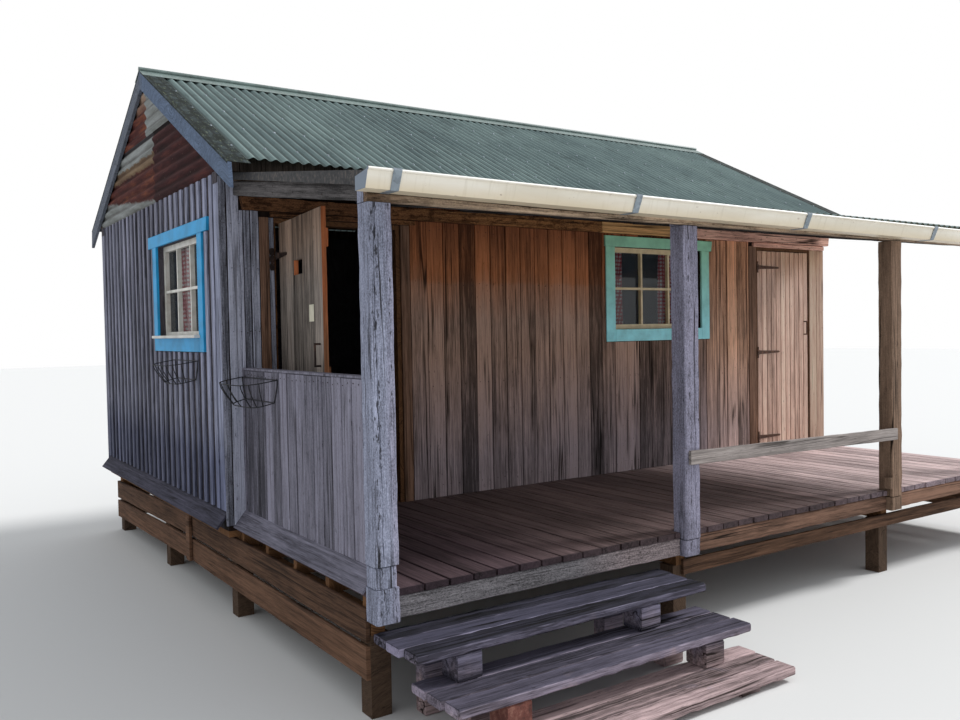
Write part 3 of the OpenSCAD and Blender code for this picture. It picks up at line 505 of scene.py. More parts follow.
# Cover strips: darker at the foot, a painted shade, and lighter and bluer towards the front corner, a
# painted skylight
timber("strip_timber", (120, 121, 136), "z", spread=0.05, flecks=0.5, **SPLIT_WIDE,
       tints=(PAINTED_SHADE_FOOT, ("y", 1300, 200, (1.3, 1.35, 1.4))))
timber("silver_wall", (72, 68, 74), "z", boards=False, tints=(PAINTED_SHADE_FOOT,))
timber("half_timber", (110, 108, 120), "z", flecks=0.7, speckle=0.2, **SPLIT_WIDE)
timber("post_timber", (134, 138, 156), "z", splits=1, spread=0.06, flecks=0.9, contrast=1.25,
       speckle=0.45, tints=POST_TINTS, seams=((82, 26), (152, 8), (2192, 14)))
timber("brown_post", (122, 100, 84), "z", splits=1, spread=0.06, contrast=1.1, speckle=0.3)
timber("head_timber", (158, 138, 118), "x", splits=1, contrast=1.5, flecks=0.9, rot=0.5, speckle=0.2,
       tints=(("x", 330, 130, (0.5, 0.45, 0.42)),))
timber("rafter_timber", (74, 71, 71), "y", spread=0.12, fall=VERANDA_FALL, contrast=1.9, flecks=0.9,
       speckle=0.2, crack=0.03)
timber("batten_timber", (84, 72, 62), "x", boards=False)
timber("ledger_timber", (98, 66, 44), "x", splits=1, contrast=1.9, spread=0.1, crack=0.03, flecks=0.9,
       speckle=0.4, rot=0.85, tints=(("x", 900, 2400, (2.1, 2.1, 1.75)),))
timber("golden_timber", (204, 156, 104), "x", splits=0.8, crack=0.03)
timber("ruddy_timber", (208, 160, 142), "x", splits=1, contrast=1.3, crack=0.03, flecks=1)
timber("frame_timber", (110, 78, 52), "xy", boards=False)
timber("barge_timber", (90, 104, 126), "y", boards=False, slant=PITCH, contrast=0.9, splits=0.5,
       tints=(("y", 1700, 1850, (1.15, 0.95, 0.78)),))
timber("eave_timber", (76, 66, 60), "z", rot=0.5)
timber("deck_timber", (108, 90, 88), "y", roughness=0.75, spread=0.1, splits=0.7, tints=DECK_TINTS)
timber("sleeper_timber", (154, 134, 134), "x", splits=1, flecks=0.6, tints=TREAD_TINTS, **SPLIT_WIDE)
timber("plinth_timber", (92, 68, 53), "xy", contrast=1.2, spread=0.12)
timber("drip_timber", (61, 60, 72), "y", contrast=1.2, spread=0.2)
timber("half_drip", (104, 102, 114), "y", contrast=1.2)
timber("stump_timber", (78, 62, 50), "z", boards=False)
timber("pale_beam", (116, 113, 116), "x", splits=1, flecks=0.9, speckle=0.45, **SPLIT_WIDE,
       tints=(("x", 1300, 1700, (1.5, 1.3, 1.25)),))
timber("brown_beam", (108, 82, 68), "x", splits=1, contrast=1.2)
timber("door_timber", (122, 113, 106), "z", splits=1, spread=0.14, contrast=1.3, crack=0.03, flecks=0.6,
       tints=(("z", 2150, 2500, (1.05, 0.85, 0.72)),))
timber("edge_timber", (158, 92, 58), "z", contrast=0.8, tints=(("z", 2150, 1850, (0.6, 0.82, 1.0)),))
# Pale: partly the weathered boards' own tone and partly painted sunlight on the store door and the boards
# beside it
timber("store_timber", (222, 186, 168), "z", contrast=0.75, flecks=0.5, tints=STORE_TINTS)
timber("casing_timber", (116, 88, 72), "z", spread=0.2, contrast=1.2)
timber("rail_timber", (138, 130, 126), "x", splits=0.8)

roof_iron("roof_iron", IRON_START, (86, 103, 104), (112, 130, 128), (18, 26, 26), 0.5)
roof_iron("veranda_iron", VERANDA_START, (96, 112, 112), (120, 136, 134), (38, 44, 44), 0.6)
roof_iron("flashing_iron", IRON_START, (44, 52, 55), (62, 71, 73), (26, 30, 30), 0.3, 0.9, 0.05)
galvanised("zinc", (150, 162, 172))
galvanised("cap_zinc", (112, 130, 126), 0.2, 0.0)
# Turquoise, greener towards the top: a painted warm shade over the trim's upper part
painted("turquoise_paint", (152, 208, 176), 0.25, (160, 232, 240))
painted("sky_blue_paint", (40, 150, 204), 0.12)
painted("white_paint", (206, 204, 198), 0.2)
painted("plate_enamel", (206, 200, 180), 0.15)
aged_iron("black_iron", (28, 22, 22), (48, 36, 32), (78, 56, 46))
aged_iron("brown_iron", (62, 46, 40), (92, 66, 54), (124, 84, 64))
aged_iron("verge_iron", (36, 36, 38), (52, 52, 54), (84, 77, 72), metallic=0)
aged_iron("wire_iron", (26, 28, 32), (40, 42, 46), (64, 56, 52))
mottled("brick", 0.9, 28, ((86, 52, 46), (120, 72, 62), (148, 106, 92)), detail=6, depth=0.002)
gingham()
gable_iron()
cream_enamel()
sash_paint()
window_glass()

CAD_FINISHES = {
    "wall_timber": ("front_wall_left", "front_wall_middle", "front_wall_right", "door_lintels"),
    "silver_wall": ("left_wall", "right_wall", "back_wall", "wall_plates"),
    "frame_timber": ("floor_bearers", "floor_joists", "rafters_front", "rafters_back", "ridge_board",
                     "roof_battens_front", "roof_battens_back", "deck_joists", "deck_bearers",
                     "floor_boards"),
    "stump_timber": ("floor_stumps",),
    "batten_timber": ("veranda_battens",),
    "barge_timber": ("bargeboards",),
    "roof_iron": ("roof_sheets_front", "roof_sheets_back"),
    "veranda_iron": ("veranda_roof_sheets",),
    "flashing_iron": ("verge_flashings",),
    "cap_zinc": ("ridge_cap",),
    "zinc": ("gutter_straps",),
    "gable_iron": ("gable_sheets_left", "gable_sheets_right"),
    "cream_enamel": ("gutter",),
    "sash_paint": ("window_sashes",),
    "window_glass": ("window_glass",),
    "lining_timber": ("front_door_frame", "store_door_frame"),
    "black_iron": ("front_door_iron",),
    "brown_iron": ("store_door_iron",),
}
for finish, names in CAD_FINISHES.items():
    for name in names:
        for slot in nodes[name].material_slots:
            slot.material = FINISHED[finish]


# Pieces
class Shape:
    """Points and faces gathered in the hut's own measure, each board with its own shade."""

    def __init__(self, seed, turn=None):
        self.draw = random.Random(seed)
        self.turn = turn or Matrix.Identity(4)
        self.points, self.faces, self.shades = [], [], []

    def tube(self, points, count, shade):
        """Rings of so many points each, joined and closed at both ends."""
        last, base = len(points) - count, len(self.points)
        faces = [(i + k, i + (k + 1) % count, i + count + (k + 1) % count, i + count + k)
                 for i in range(0, last, count) for k in range(count)]
        faces += [range(count - 1, -1, -1), range(last, last + count)]
        self.points += [self.turn @ Vector(p) for p in points]
        self.faces += [[base + i for i in face] for face in faces]
        self.shades += [shade] * len(points)
        return self

    def board(self, low, high, along, shade=None, edge=2.0, wear=0.8, step=320, ragged=3.0,
              lean=(0, 0, 0), skew=(0, 0), cracks=()):
        """A sawn board with worn arrises, as rings of points along its grain.

        lean = how far its far end is shifted; skew = how far each end is cut back at its foot.
        cracks = (share, top, width, depth): a wandering groove on the low or the top side.
        """
        draw, low, high = self.draw, list(low), list(high)
        shade = draw.random() if shade is None else shade
        start = low.pop(along)
        length = high.pop(along) - start
        rings = max(2, round(length / step) + 1)
        ragged = min(ragged, length / 8)
        drift = [0.0] * len(cracks)
        points, ring = [], []
        for i in range(rings):
            part = i / (rings - 1)
            at, cut = start + part * length, 0
            if i == 0:
                at, cut = at + draw.uniform(0, ragged), skew[0]
            elif i == rings - 1:
                at, cut = at - draw.uniform(0, ragged), -skew[1]
            a0, b0 = (value + draw.uniform(0, wear) for value in low)
            a1, b1 = (value - draw.uniform(0, wear) for value in high)
            worn = edge * draw.uniform(0.6, 1.5)
            sides = {False: [], True: []}
            for k, (share, top, width, depth) in enumerate(cracks):
                drift[k] = max(-2.5, min(2.5, drift[k] + draw.uniform(-1, 1)))
                middle = a0 + (a1 - a0) * share + drift[k] * width
                shut = 0.15 if i in (0, rings - 1) else draw.uniform(0.3, 1)
                face, deep = (b1, b1 - depth * shut) if top else (b0, b0 + depth * shut)
                sides[top] += [(middle - width / 2 * shut, face), (middle, deep),
                               (middle + width / 2 * shut, face)]
            ring = [(a0 + worn, b0), *sorted(sides[False]), (a1 - worn, b0), (a1, b0 + worn),
                    (a1, b1 - worn), (a1 - worn, b1), *sorted(sides[True], reverse=True),
                    (a0 + worn, b1), (a0, b1 - worn), (a0, b0 + worn)]
            for a, b in ring:
                point = [a, b]
                point.insert(along, at + cut * (high[1] - b) / (high[1] - low[1]))
                points.append([value + part * shift for value, shift in zip(point, lean)])
        return self.tube(points, len(ring), shade)

    def plate(self, outline, low, high, along):
        """A flat plate: an outline in the two other axes, between two depths along one."""
        points = [[a, b] for _ in (low, high) for a, b in outline]
        for i, point in enumerate(points):
            point.insert(along, low if i < len(outline) else high)
        return self.tube(points, len(outline), 0.5)

    def piece(self, name, finish, slot, body="hut", node=None):
        mesh = new_mesh(name, self.points, faces=self.faces)
        mesh.attributes.new("shade", "FLOAT", "POINT").data.foreach_set("value", self.shades)
        shell = bmesh.new()
        shell.from_mesh(mesh)
        bmesh.ops.recalc_face_normals(shell, faces=shell.faces)
        shell.to_mesh(mesh)
        shell.free()
        carry(name, mesh, finish, body, node)


def carry(name, mesh, finish, body="hut", node=None):
    """A finished mesh becomes a piece that rides on a body, in the place of a node if one is named."""
    mesh.materials.clear()
    mesh.materials.append(FINISHED[finish])
    made = put(name, mesh)
    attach(made, body)
    if node:
        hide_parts(node)
    return made


def right_end():
    """The mirror that turns a left end's piece into the right end's."""
    return Matrix.Translation((HOUSE_L, 0, 0)) @ Matrix.Scale(-1, 4, (1, 0, 0))


def back_side():
    return Matrix.Translation((0, HOUSE_W, 0)) @ Matrix.Scale(-1, 4, (0, 1, 0))


NARROWEST, SMALLEST_CUT = 8, 4


def cut_round(rect, holes):
    """What is left of a rectangle (a0, a1, z0, z1) outside the holes, as rectangles."""
    left = [rect]
    for h0, h1, k0, k1 in holes:
        kept = []
        for a0, a1, z0, z1 in left:
            if a1 <= h0 or a0 >= h1 or z1 <= k0 or z0 >= k1:
                kept.append((a0, a1, z0, z1))
                continue
            inner0, inner1 = max(a0, h0), min(a1, h1)
            kept += [(a0, h0, z0, z1), (h1, a1, z0, z1), (inner0, inner1, z0, k0), (inner0, inner1, k1, z1)]
        left = kept
    return [r for r in left if min(r[1] - r[0], r[3] - r[2]) > SMALLEST_CUT]


def planks(draw, start, end, pitch, width, low, high, holes=(), loose=0.0):
    """Upright boards side by side, cut round the holes: each rectangle and its board's shade."""
    at = start
    while at < end - NARROWEST:
        wide = width * draw.uniform(1 - loose, 1 + loose)
        shade = draw.random()
        for rect in cut_round((at, min(at + wide, end), low, high), holes):
            yield (*rect, shade)
        at += pitch


# The front wall: planks on the wall, cut round the doors, the window and the ledger
END_PROUD = 17
PLANK_PITCH, PLANK_W, PLANK_START = 144.3, 138.3, 1394
STRIP_PITCH, STRIP_W, STRIP_LOOSE = 139, 60, 0.12
DOOR_ZONE = (250, 1392, 0, 2702)
STORE_ZONE = (5167, HOUSE_L, 0, 2702)
WINDOW_ZONE = (3310, 4602, 1768, 2587)
WINDOW_HEAD = (3300, 4646, 2587, 2683)
LEDGER_ZONE = (118, HOUSE_L, LEDGER_LOW, LEDGER_TOP)
END_WINDOW = (364, 1656, 1768, 2587)
END_WINDOW_HEAD = (244, 1792, 2587, 2683)
FRONT_TOP = PLATE - 35


def front_boards():
    left, right = Shape(11), Shape(13)
    holes = [DOOR_ZONE, STORE_ZONE, WINDOW_ZONE, WINDOW_HEAD, LEDGER_ZONE]
    for x0, x1, z0, z1, shade in planks(left.draw, PLANK_START, HOUSE_L, PLANK_PITCH, PLANK_W, FLOOR,
                                        FRONT_TOP, holes):
        shape = right if x0 > WINDOW_ZONE[1] - PLANK_PITCH else left
        shape.board((x0, -shape.draw.uniform(10, 15), z0), (x1, -FIT, z1), 2, shade,
                    edge=1.5, wear=1.2, step=400)
    left.piece("front_boards", "front_timber", "front_boards")
    right.piece("right_front_boards", "right_timber", "front_boards")


NEAR_BOARDS = (
    # x0, x1, proud and shade of each plank left of the front door
    (-END_PROUD, 31, 12, 0.1), (36, 143, 13, 0.9), (147, 190, 8, 0.3), (194, 249, 15, 0.75),
)


def near_corner_boards():
    """The grey planks left of the front door, out in the weather."""
    shape = Shape(12)
    for x0, x1, proud, shade in NEAR_BOARDS:
        for a0, a1, z0, z1 in cut_round((x0, x1, FLOOR, FRONT_TOP), [LEDGER_ZONE]):
            shape.board((a0, -proud, z0), (a1, -FIT, z1), 2, shade, edge=3, wear=2.5, step=110)
    shape.piece("near_corner_boards", "silver_timber", "grey_boards")


END_STRIPS = (
    # start, end, pitch, width and looseness: a corner board, the strips and the other corner board
    (2, 100, 98, 92, 0), (128, HOUSE_W - 90, STRIP_PITCH, STRIP_W, STRIP_LOOSE),
    (HOUSE_W - 92, HOUSE_W, 98, 90, 0),
)


def end_boards(name, seed, turn=None):
    """Narrow cover strips over the boards of an end wall."""
    shape = Shape(seed, turn)
    for start, end, pitch, width, loose in END_STRIPS:
        for y0, y1, z0, z1, shade in planks(shape.draw, start, end, pitch, width, BASE + 131, PLATE - 4,
                                            [END_WINDOW, END_WINDOW_HEAD], loose):
            shape.board((-END_PROUD, y0, z0), (-FIT, y1, z1), 2, shade, wear=1.5, step=300)
    shape.piece(name, "strip_timber", "grey_boards")


def back_boards():
    shape = Shape(23)
    for x0, x1, z0, z1, shade in planks(shape.draw, -END_PROUD, HOUSE_L + END_PROUD, STRIP_PITCH, STRIP_W,
                                        BASE, PLATE, loose=STRIP_LOOSE):
        shape.board((x0, HOUSE_W + FIT, z0), (x1, HOUSE_W + END_PROUD, z1), 2, shade)
    shape.piece("back_boards", "strip_timber", "grey_boards")


EAVE_OVER, EAVE_PITCH, EAVE_W = 23, 150, 147


def eave_boards():
    """Upright boards that close the eaves over the front and the back wall."""
    end = HOUSE_L + EAVE_OVER
    for name, seed, turn in (("front_eave_boards", 24, None), ("back_eave_boards", 25, back_side())):
        shape = Shape(seed, turn)
        for at in range(-EAVE_OVER, end, EAVE_PITCH):
            shape.board((at, -21 - shape.draw.uniform(0, 1), PLATE),
                        (min(at + EAVE_W, end), -1, EAVE_TOP), 2)
        shape.piece(name, "eave_timber", "grey_timber", node="eave_boards")


CASING_TOP, HEAD_TOP = 2662, 2699
# x0 and x1 of each rough board beside the doorways, with its thickness and shade
CASINGS = ((252, 318, 18, 0.45), (1314, 1390, 16, 0.5), (5169, 5281, 18, 0.5))
FAR_BOARDS = ((6125, 6236, 13, 0.8), (6241, HOUSE_L - 2, 12, 0.5))
GREY_JAMB, FRONT_HEAD, STORE_HEAD = (320, 352), (330, 1439), (5230, HOUSE_L - 4)


def door_casings():
    """Rough boards round the doorways, on the wall's face."""
    near, far = Shape(31), Shape(34)
    for x0, x1, thick, shade in CASINGS:
        near.board((x0, -thick, FLOOR), (x1, -FIT, CASING_TOP), 2, shade, edge=3, wear=2, step=120)
    for x0, x1, thick, shade in FAR_BOARDS:
        far.board((x0, -thick, FLOOR), (x1, -FIT, CASING_TOP - 8), 2, shade, wear=1.5, step=200)
    near.piece("door_casings", "casing_timber", "front_boards")
    Shape(33).board((GREY_JAMB[0], -12, FLOOR), (GREY_JAMB[1], -FIT, CASING_TOP), 2, 0.4, edge=3, wear=1.5,
                    step=160).piece("grey_jamb_strip", "silver_timber", "grey_boards")
    far.piece("far_boards", "store_timber", "front_boards")
    Shape(32).board((FRONT_HEAD[0], -24, CASING_TOP + 2), (FRONT_HEAD[1], -FIT, HEAD_TOP - 1), 0, 0.5,
                    edge=3, wear=2, step=90).piece("front_door_head", "ledger_timber", "frame_timber")
    Shape(35).board((STORE_HEAD[0], -26, CASING_TOP - 7), (STORE_HEAD[1], -FIT, HEAD_TOP), 0, 0.7, edge=4,
                    wear=3, step=80, ragged=8, cracks=((0.5, False, 4, 5),)).piece(
        "store_door_head", "ruddy_timber", "frame_timber")


LEDGERS = (
    # name, x0, x1, finish and the lean of the ends of each of the ledger's lengths
    ("ledger_a", 120, 3243, "ledger_timber", (20, 0)), ("ledger_b", 3246, 4398, "golden_timber", (0, 0)),
    ("ledger_c", 4401, 6411, "ruddy_timber", (0, 14)),
)


def ledger():
    for i, (name, x0, x1, finish, skew) in enumerate(LEDGERS):
        Shape(36 + i).board((x0, -50, LEDGER_LOW), (x1, -FIT, LEDGER_TOP), 0, 0.5, edge=4, wear=3,
                            step=70, ragged=5, skew=skew).piece(
            name, finish, "frame_timber", node="veranda_ledger")


def rafters():
    """Rough rafters from the ledger down to the front beam."""
    shape = Shape(40)
    drop = VERANDA_D * VERANDA_FALL
    low = LEDGER_TOP - drop
    for x in RAFTER_X:
        shape.board((x, -VERANDA_D, low), (x + RAFTER_W, -1, low + RAFTER_H), 1, edge=4, wear=3,
                    step=90, ragged=4, lean=(0, 0, drop))
    shape.piece("rafters", "rafter_timber", "grey_timber", node="veranda_rafters")


VERGE_X = (66, 69.5)


def verge_plate():
    """The dark plate turned down over the first rafter at the veranda roof's left edge."""
    back, back_low, front_low, top = -3, 25, 55, VERANDA_IRON + CREST
    drop = -POST_FRONT * VERANDA_FALL
    outline = ((POST_FRONT, VERANDA_IRON - drop - front_low), (back, VERANDA_IRON - back_low),
               (back, top), (POST_FRONT, top - drop))
    Shape(47).plate(outline, *VERGE_X, 0).piece("verge_plate", "verge_iron", "galvanised_iron")


DECK_IN, DECK_PITCH, DECK_W, DECK_OVER = 52, 146, 135, 8
NOTCH_LEFT, NOTCH_RIGHT, NOTCH_FRONT = 12, 6, -2100


def deck_planks():
    """Deck boards laid front to back, notched round the posts."""
    shape = Shape(41)
    posts = [(x - NOTCH_LEFT, x + POST_W + NOTCH_RIGHT, NOTCH_FRONT, POST_BACK + 1) for x in POST_X]
    end = HOUSE_L - DECK_IN
    for at in range(DECK_IN, end - NARROWEST, DECK_PITCH):
        shade = shape.draw.random()
        front = -VERANDA_D - DECK_OVER + shape.draw.uniform(0, 9)
        for x0, x1, y0, y1 in cut_round((at, min(at + DECK_W, end), front, -1), posts):
            shape.board((x0, y0, BASE), (x1, y1, FLOOR), 1, shade, edge=2.5)
    shape.piece("deck_planks", "deck_timber", "deck_timber", node="deck_boards")


POST_CRACKS = (((0.33, False, 7, 18), (0.72, False, 3, 8)), ((0.6, False, 5, 14),),
               ((0.4, False, 4, 10),), ((0.5, False, 4, 10),))
POST_FEET = (765, 590, 590, 590)
TONGUE_TOP, TONGUE_SLOT = 2589, ((81, 128), None, None, (6232, 6279))
PACKER_LOW, PACKER_TOP = 488, 589
# The block on the third post's left side
SIDE_BLOCK = (POST_X[2] - 36, -1992, 654), (POST_X[2] - 1, -1930, 739)


def veranda_posts():
    """Hewn posts with a shoulder for the front beam, the end ones slotted for their rafters."""
    near, far = Shape(42), Shape(48)
    for i, (x, foot, slot) in enumerate(zip(POST_X, POST_FEET, TONGUE_SLOT)):
        shape = near if i < 2 else far
        shade = 0.5 + 0.12 * i
        shape.board((x, POST_FRONT, foot), (x + POST_W, POST_BACK, BEAM_LOW - 1), 2, shade,
                    edge=6, wear=3.5, step=75, ragged=4, cracks=POST_CRACKS[i])
        cheeks = ((x, slot[0]), (slot[1], x + POST_W)) if slot else ((x, x + POST_W),)
        for x0, x1 in cheeks:
            shape.board((x0, -VERANDA_D + 1, BEAM_LOW - 1), (x1, POST_BACK, TONGUE_TOP), 2, shade,
                        edge=3, wear=2, step=60)
    far.board(*SIDE_BLOCK, 2, 0.4, edge=3, wear=2, step=40)
    near.piece("near_posts", "post_timber", "grey_timber", node="veranda_posts")
    far.piece("far_posts", "brown_post", "grey_timber", node="veranda_posts")


NEAR_PACKERS = (
    # x0, x1, y0, z0, z1, shade and step of the two packers under the first post
    (51, 167, -1979, 660, 764, 0.5, 50), (47, 177, -1989, PACKER_LOW, 659, 0.4, 60),
)


def packers():
    near, far = Shape(43), Shape(49)
    for x0, x1, y0, z0, z1, shade, step in NEAR_PACKERS:
        near.board((x0, y0, z0), (x1, POST_BACK, z1), 2, shade, edge=6, wear=3, step=step)
    for x, shape in zip(POST_X[1:], (near, far, far)):
        shape.board((x - 6, POST_FRONT, PACKER_LOW), (x + POST_W - 4, POST_BACK, PACKER_TOP), 2,
                    edge=6, wear=3, step=50)
    near.piece("near_packers", "post_timber", "grey_timber", node="post_packers")
    far.piece("far_packers", "brown_post", "grey_timber", node="post_packers")


RAIL_X, RAIL_FRONT, RAIL_LOW, RAIL_H, RAIL_FALL = (2163, 4375), -2010, 1048, 88, 29
DECK_BEAM_BACK, DECK_BEAM_GAP = -1890, 7


def beams():
    """The deck's front beams, the veranda's front beam and the rail."""
    for i, (left, right) in enumerate(zip(POST_X, POST_X[1:])):
        Shape(44 + 100 * i).board(
            (left + POST_W, -VERANDA_D, PACKER_LOW + 1), (right - DECK_BEAM_GAP, DECK_BEAM_BACK, BASE - 1),
            0, edge=6, wear=4, step=70, ragged=14, cracks=((0.4, False, 4, 8),)).piece(
            "deck_beam_" + "abc"[i], "brown_beam" if i else "pale_beam", "grey_timber",
            node="deck_front_beam")
    Shape(45).board((POST_X[0], POST_FRONT, BEAM_LOW), (HOUSE_L - POST_X[0], -VERANDA_D - 1, BEAM_TOP), 0,
                    0.45, edge=3, wear=1.5, step=90, ragged=2).piece(
        "head_beam", "head_timber", "grey_timber", node="veranda_beam")
    Shape(46).board((RAIL_X[0], RAIL_FRONT, RAIL_LOW), (RAIL_X[1], POST_FRONT - FIT, RAIL_LOW + RAIL_H), 0,
                    0.6, edge=4, wear=3, step=110, ragged=8, lean=(0, 0, -RAIL_FALL),
                    cracks=((0.5, False, 3, 5),)).piece(
        "rail", "rail_timber", "grey_timber", node="veranda_rails")


STEP_X, STEP_BACK, STEP_L, STEP_GOING, STEP_SHIFT = 57, -1900, 1920, 245, 70
SLEEPER_W, SLEEPER_PITCH, TREAD = 130, 135, 50
STEPS = (("step_top", 435), ("step_middle", 257), ("step_bottom", 79))


def steps():
    """Three sleepers to a step, split and rounded by weather."""
    for i, (name, top) in enumerate(STEPS):
        shape = Shape(50 + i)
        x0, back = STEP_X + i * STEP_SHIFT, STEP_BACK - i * STEP_GOING
        for k in range(3):
            near = back - k * SLEEPER_PITCH
            left = x0 + shape.draw.uniform(0, 26)
            right = x0 + STEP_L - shape.draw.uniform(0, 20)
            cracks = tuple((shape.draw.uniform(0.2, 0.8), True, shape.draw.uniform(2, 5), 12)
                           for _ in range(2))
            shape.board((left, near - SLEEPER_W, top - TREAD), (right, near, top), 0, edge=7, wear=3.5,
                        step=60, ragged=8, cracks=cracks)
        shape.piece(name + "_sleepers", "sleeper_timber", "grey_timber", node=name)


BLOCK_W = 140
BLOCKS = (
    # x, y0, y1, z0, z1 of each timber block under the steps
    (297, -2295, -2150, 257, 385), (1466, -2295, -2150, 257, 385),
    (297, -2000, -1905, 0, 385), (1466, -2000, -1905, 0, 385),
    (1691, -2540, -2395, 79, 207), (400, -2245, -2150, 0, 207), (1691, -2245, -2150, 0, 207),
    (497, -2770, -2395, 0, 29), (1697, -2770, -2395, 0, 29),
)


def blocks():
    shape = Shape(55)
    for x, y0, y1, z0, z1 in BLOCKS:
        shape.board((x, y0, z0), (x + BLOCK_W, y1, z1), 0, edge=5, wear=3, step=60)
    shape.piece("timber_blocks", "sleeper_timber", "grey_timber", node="step_blocks")
    Shape(56).board((400, -2540, 79), (400 + BLOCK_W, -2395, 207), 0, 0.5, edge=7, wear=2,
                    step=50).piece("brick_block", "brick", None, node="step_blocks")


HALF_PITCH, HALF_W, HALF_T, HALF_BOARD_TOP = 122, 118, 23, 1652
HALF_RAILS, HALF_RAIL_X, HALF_RAIL_H = (FLOOR + 1, 1596), (135, 180), 69


def half_wall():
    """Upright boards on two rails, with a capping board, at the veranda's left end."""
    shape = Shape(61)
    for at in range(POST_BACK + 1, -10, HALF_PITCH):
        wide = min(HALF_W * shape.draw.uniform(0.94, 1.02), -1 - at)
        shape.board((HALF_WALL_X + shape.draw.uniform(0, 3), at, FLOOR),
                    (HALF_WALL_X + HALF_T, at + wide, HALF_BOARD_TOP), 2, edge=2.5, wear=1.5, step=200)
    for z in HALF_RAILS:
        shape.board((HALF_RAIL_X[0], POST_BACK, z), (HALF_RAIL_X[1], -1, z + HALF_RAIL_H), 1)
    shape.board((HALF_WALL_X, POST_BACK, HALF_BOARD_TOP + 1), (HALF_RAIL_X[1], -1, HALF_WALL_TOP), 1, 0.6)
    shape.piece("left_half_wall", "half_timber", "grey_boards", node="half_wall_left")


PLINTH_IN, PLINTH_T, PLINTH_H, PLINTH_GAP = 45, 25, 166, 20
PLINTH_TOP, PLINTH_JOINT, PLINTH_FALL = 545, 1040, 68
PLINTH_ROWS = (PLINTH_TOP, PLINTH_TOP - PLINTH_H - PLINTH_GAP)
CLEAT_OUT, CLEAT_HALF, CLEAT_LOW = 20, 45, 193
# The board along the front, right of the steps
LONG_BOARD = (2213, -1894.5, 350), (6288, POST_BACK - FIT, 445)


def plinth():
    """Rough boards on the stumps, a cleat over each joint, and one board right of the steps."""
    inner = HOUSE_W - PLINTH_IN - PLINTH_T
    for name, seed, turn in (("left_plinth", 91, None), ("right_plinth", 92, right_end())):
        shape = Shape(seed, turn)
        for top in PLINTH_ROWS:
            for y0, y1, fall in ((POST_BACK, PLINTH_JOINT - 1, 0), (PLINTH_JOINT + 1, inner, PLINTH_FALL)):
                shape.board((PLINTH_IN, y0, top - PLINTH_H), (PLINTH_IN + PLINTH_T - FIT, y1, top), 1,
                            edge=3, wear=2, step=110, ragged=4, lean=(0, 0, -fall))
        shape.board((CLEAT_OUT, PLINTH_JOINT - CLEAT_HALF, CLEAT_LOW),
                    (PLINTH_IN - FIT, PLINTH_JOINT + CLEAT_HALF, PLINTH_TOP), 2, 0.9,
                    edge=3, wear=2, step=80)
        shape.piece(name, "plinth_timber", "plinth_timber", node="plinth_boards")
    back = Shape(93)
    for row in PLINTH_ROWS:
        top = row - PLINTH_FALL
        back.board((PLINTH_IN, inner + FIT, top - PLINTH_H), (HOUSE_L - PLINTH_IN, inner + PLINTH_T, top),
                   0, edge=3, wear=2, step=160)
    back.board(*LONG_BOARD, 0, 0.3, edge=3, wear=2, step=120)
    back.piece("long_plinth", "plinth_timber", "plinth_timber", node="plinth_boards")


DRIP_REACH, DRIP_FALL, DRIP_T = 85, 105, 22
DRIP_TOP = BASE + 130


def drip_boards():
    """Sloping boards that throw water off the foot of the end walls and the half wall."""
    slant = math.atan2(DRIP_FALL, DRIP_REACH)
    width, thick = math.hypot(DRIP_REACH, DRIP_FALL), DRIP_T * math.cos(slant)
    for name, seed, finish, x, y0, y1, end in (
            ("left_drip", 94, "drip_timber", 0, 1, HOUSE_W, Matrix()),
            ("right_drip", 95, "drip_timber", 0, 1, HOUSE_W, right_end()),
            ("veranda_drip", 96, "half_drip", HALF_WALL_X, POST_BACK, -1, Matrix())):
        turn = end @ Matrix.Translation((x, 0, DRIP_TOP)) @ Matrix.Rotation(-slant, 4, "Y")
        Shape(seed, turn).board((-width, y0, -thick), (0, y1, 0), 1, 0.5, edge=3, wear=1.5,
                                step=200).piece(name, finish, "grey_timber", node="drip_boards")


front_boards()
near_corner_boards()
end_boards("left_strips", 21)
end_boards("right_strips", 22, right_end())
back_boards()
eave_boards()
door_casings()
ledger()
rafters()
verge_plate()
deck_planks()
veranda_posts()
packers()
beams()
steps()
blocks()
half_wall()
plinth()
drip_boards()


# The doors: boards on three ledges, built closed and turned to where they rest
DOOR_H, LEAF_GAP = 1981, 6
LEDGE_Z, LEDGE_H = (120, 935.5, 1751), 110
HINGE_Y, SILL_TOP = 15.5, FLOOR + 6
FRONT_DOOR = Matrix.Translation((367, -HINGE_Y, SILL_TOP)) @ Matrix.Rotation(
    math.radians(-96), 4, "Z") @ Matrix.Translation((0, HINGE_Y, 0))
STORE_DOOR = Matrix.Translation((5307, 0, SILL_TOP))
FRONT_LEAF, STORE_LEAF = 903, 796
PEEP_HOLE = (345, 520, 1617, 1709)
DOOR_PLATE = (650, -2.5, 1315), (740, -0.2, 1417)
BOARD_BACK, LEDGE_IN, LEDGE_BACK = 30, (46, 34), 55


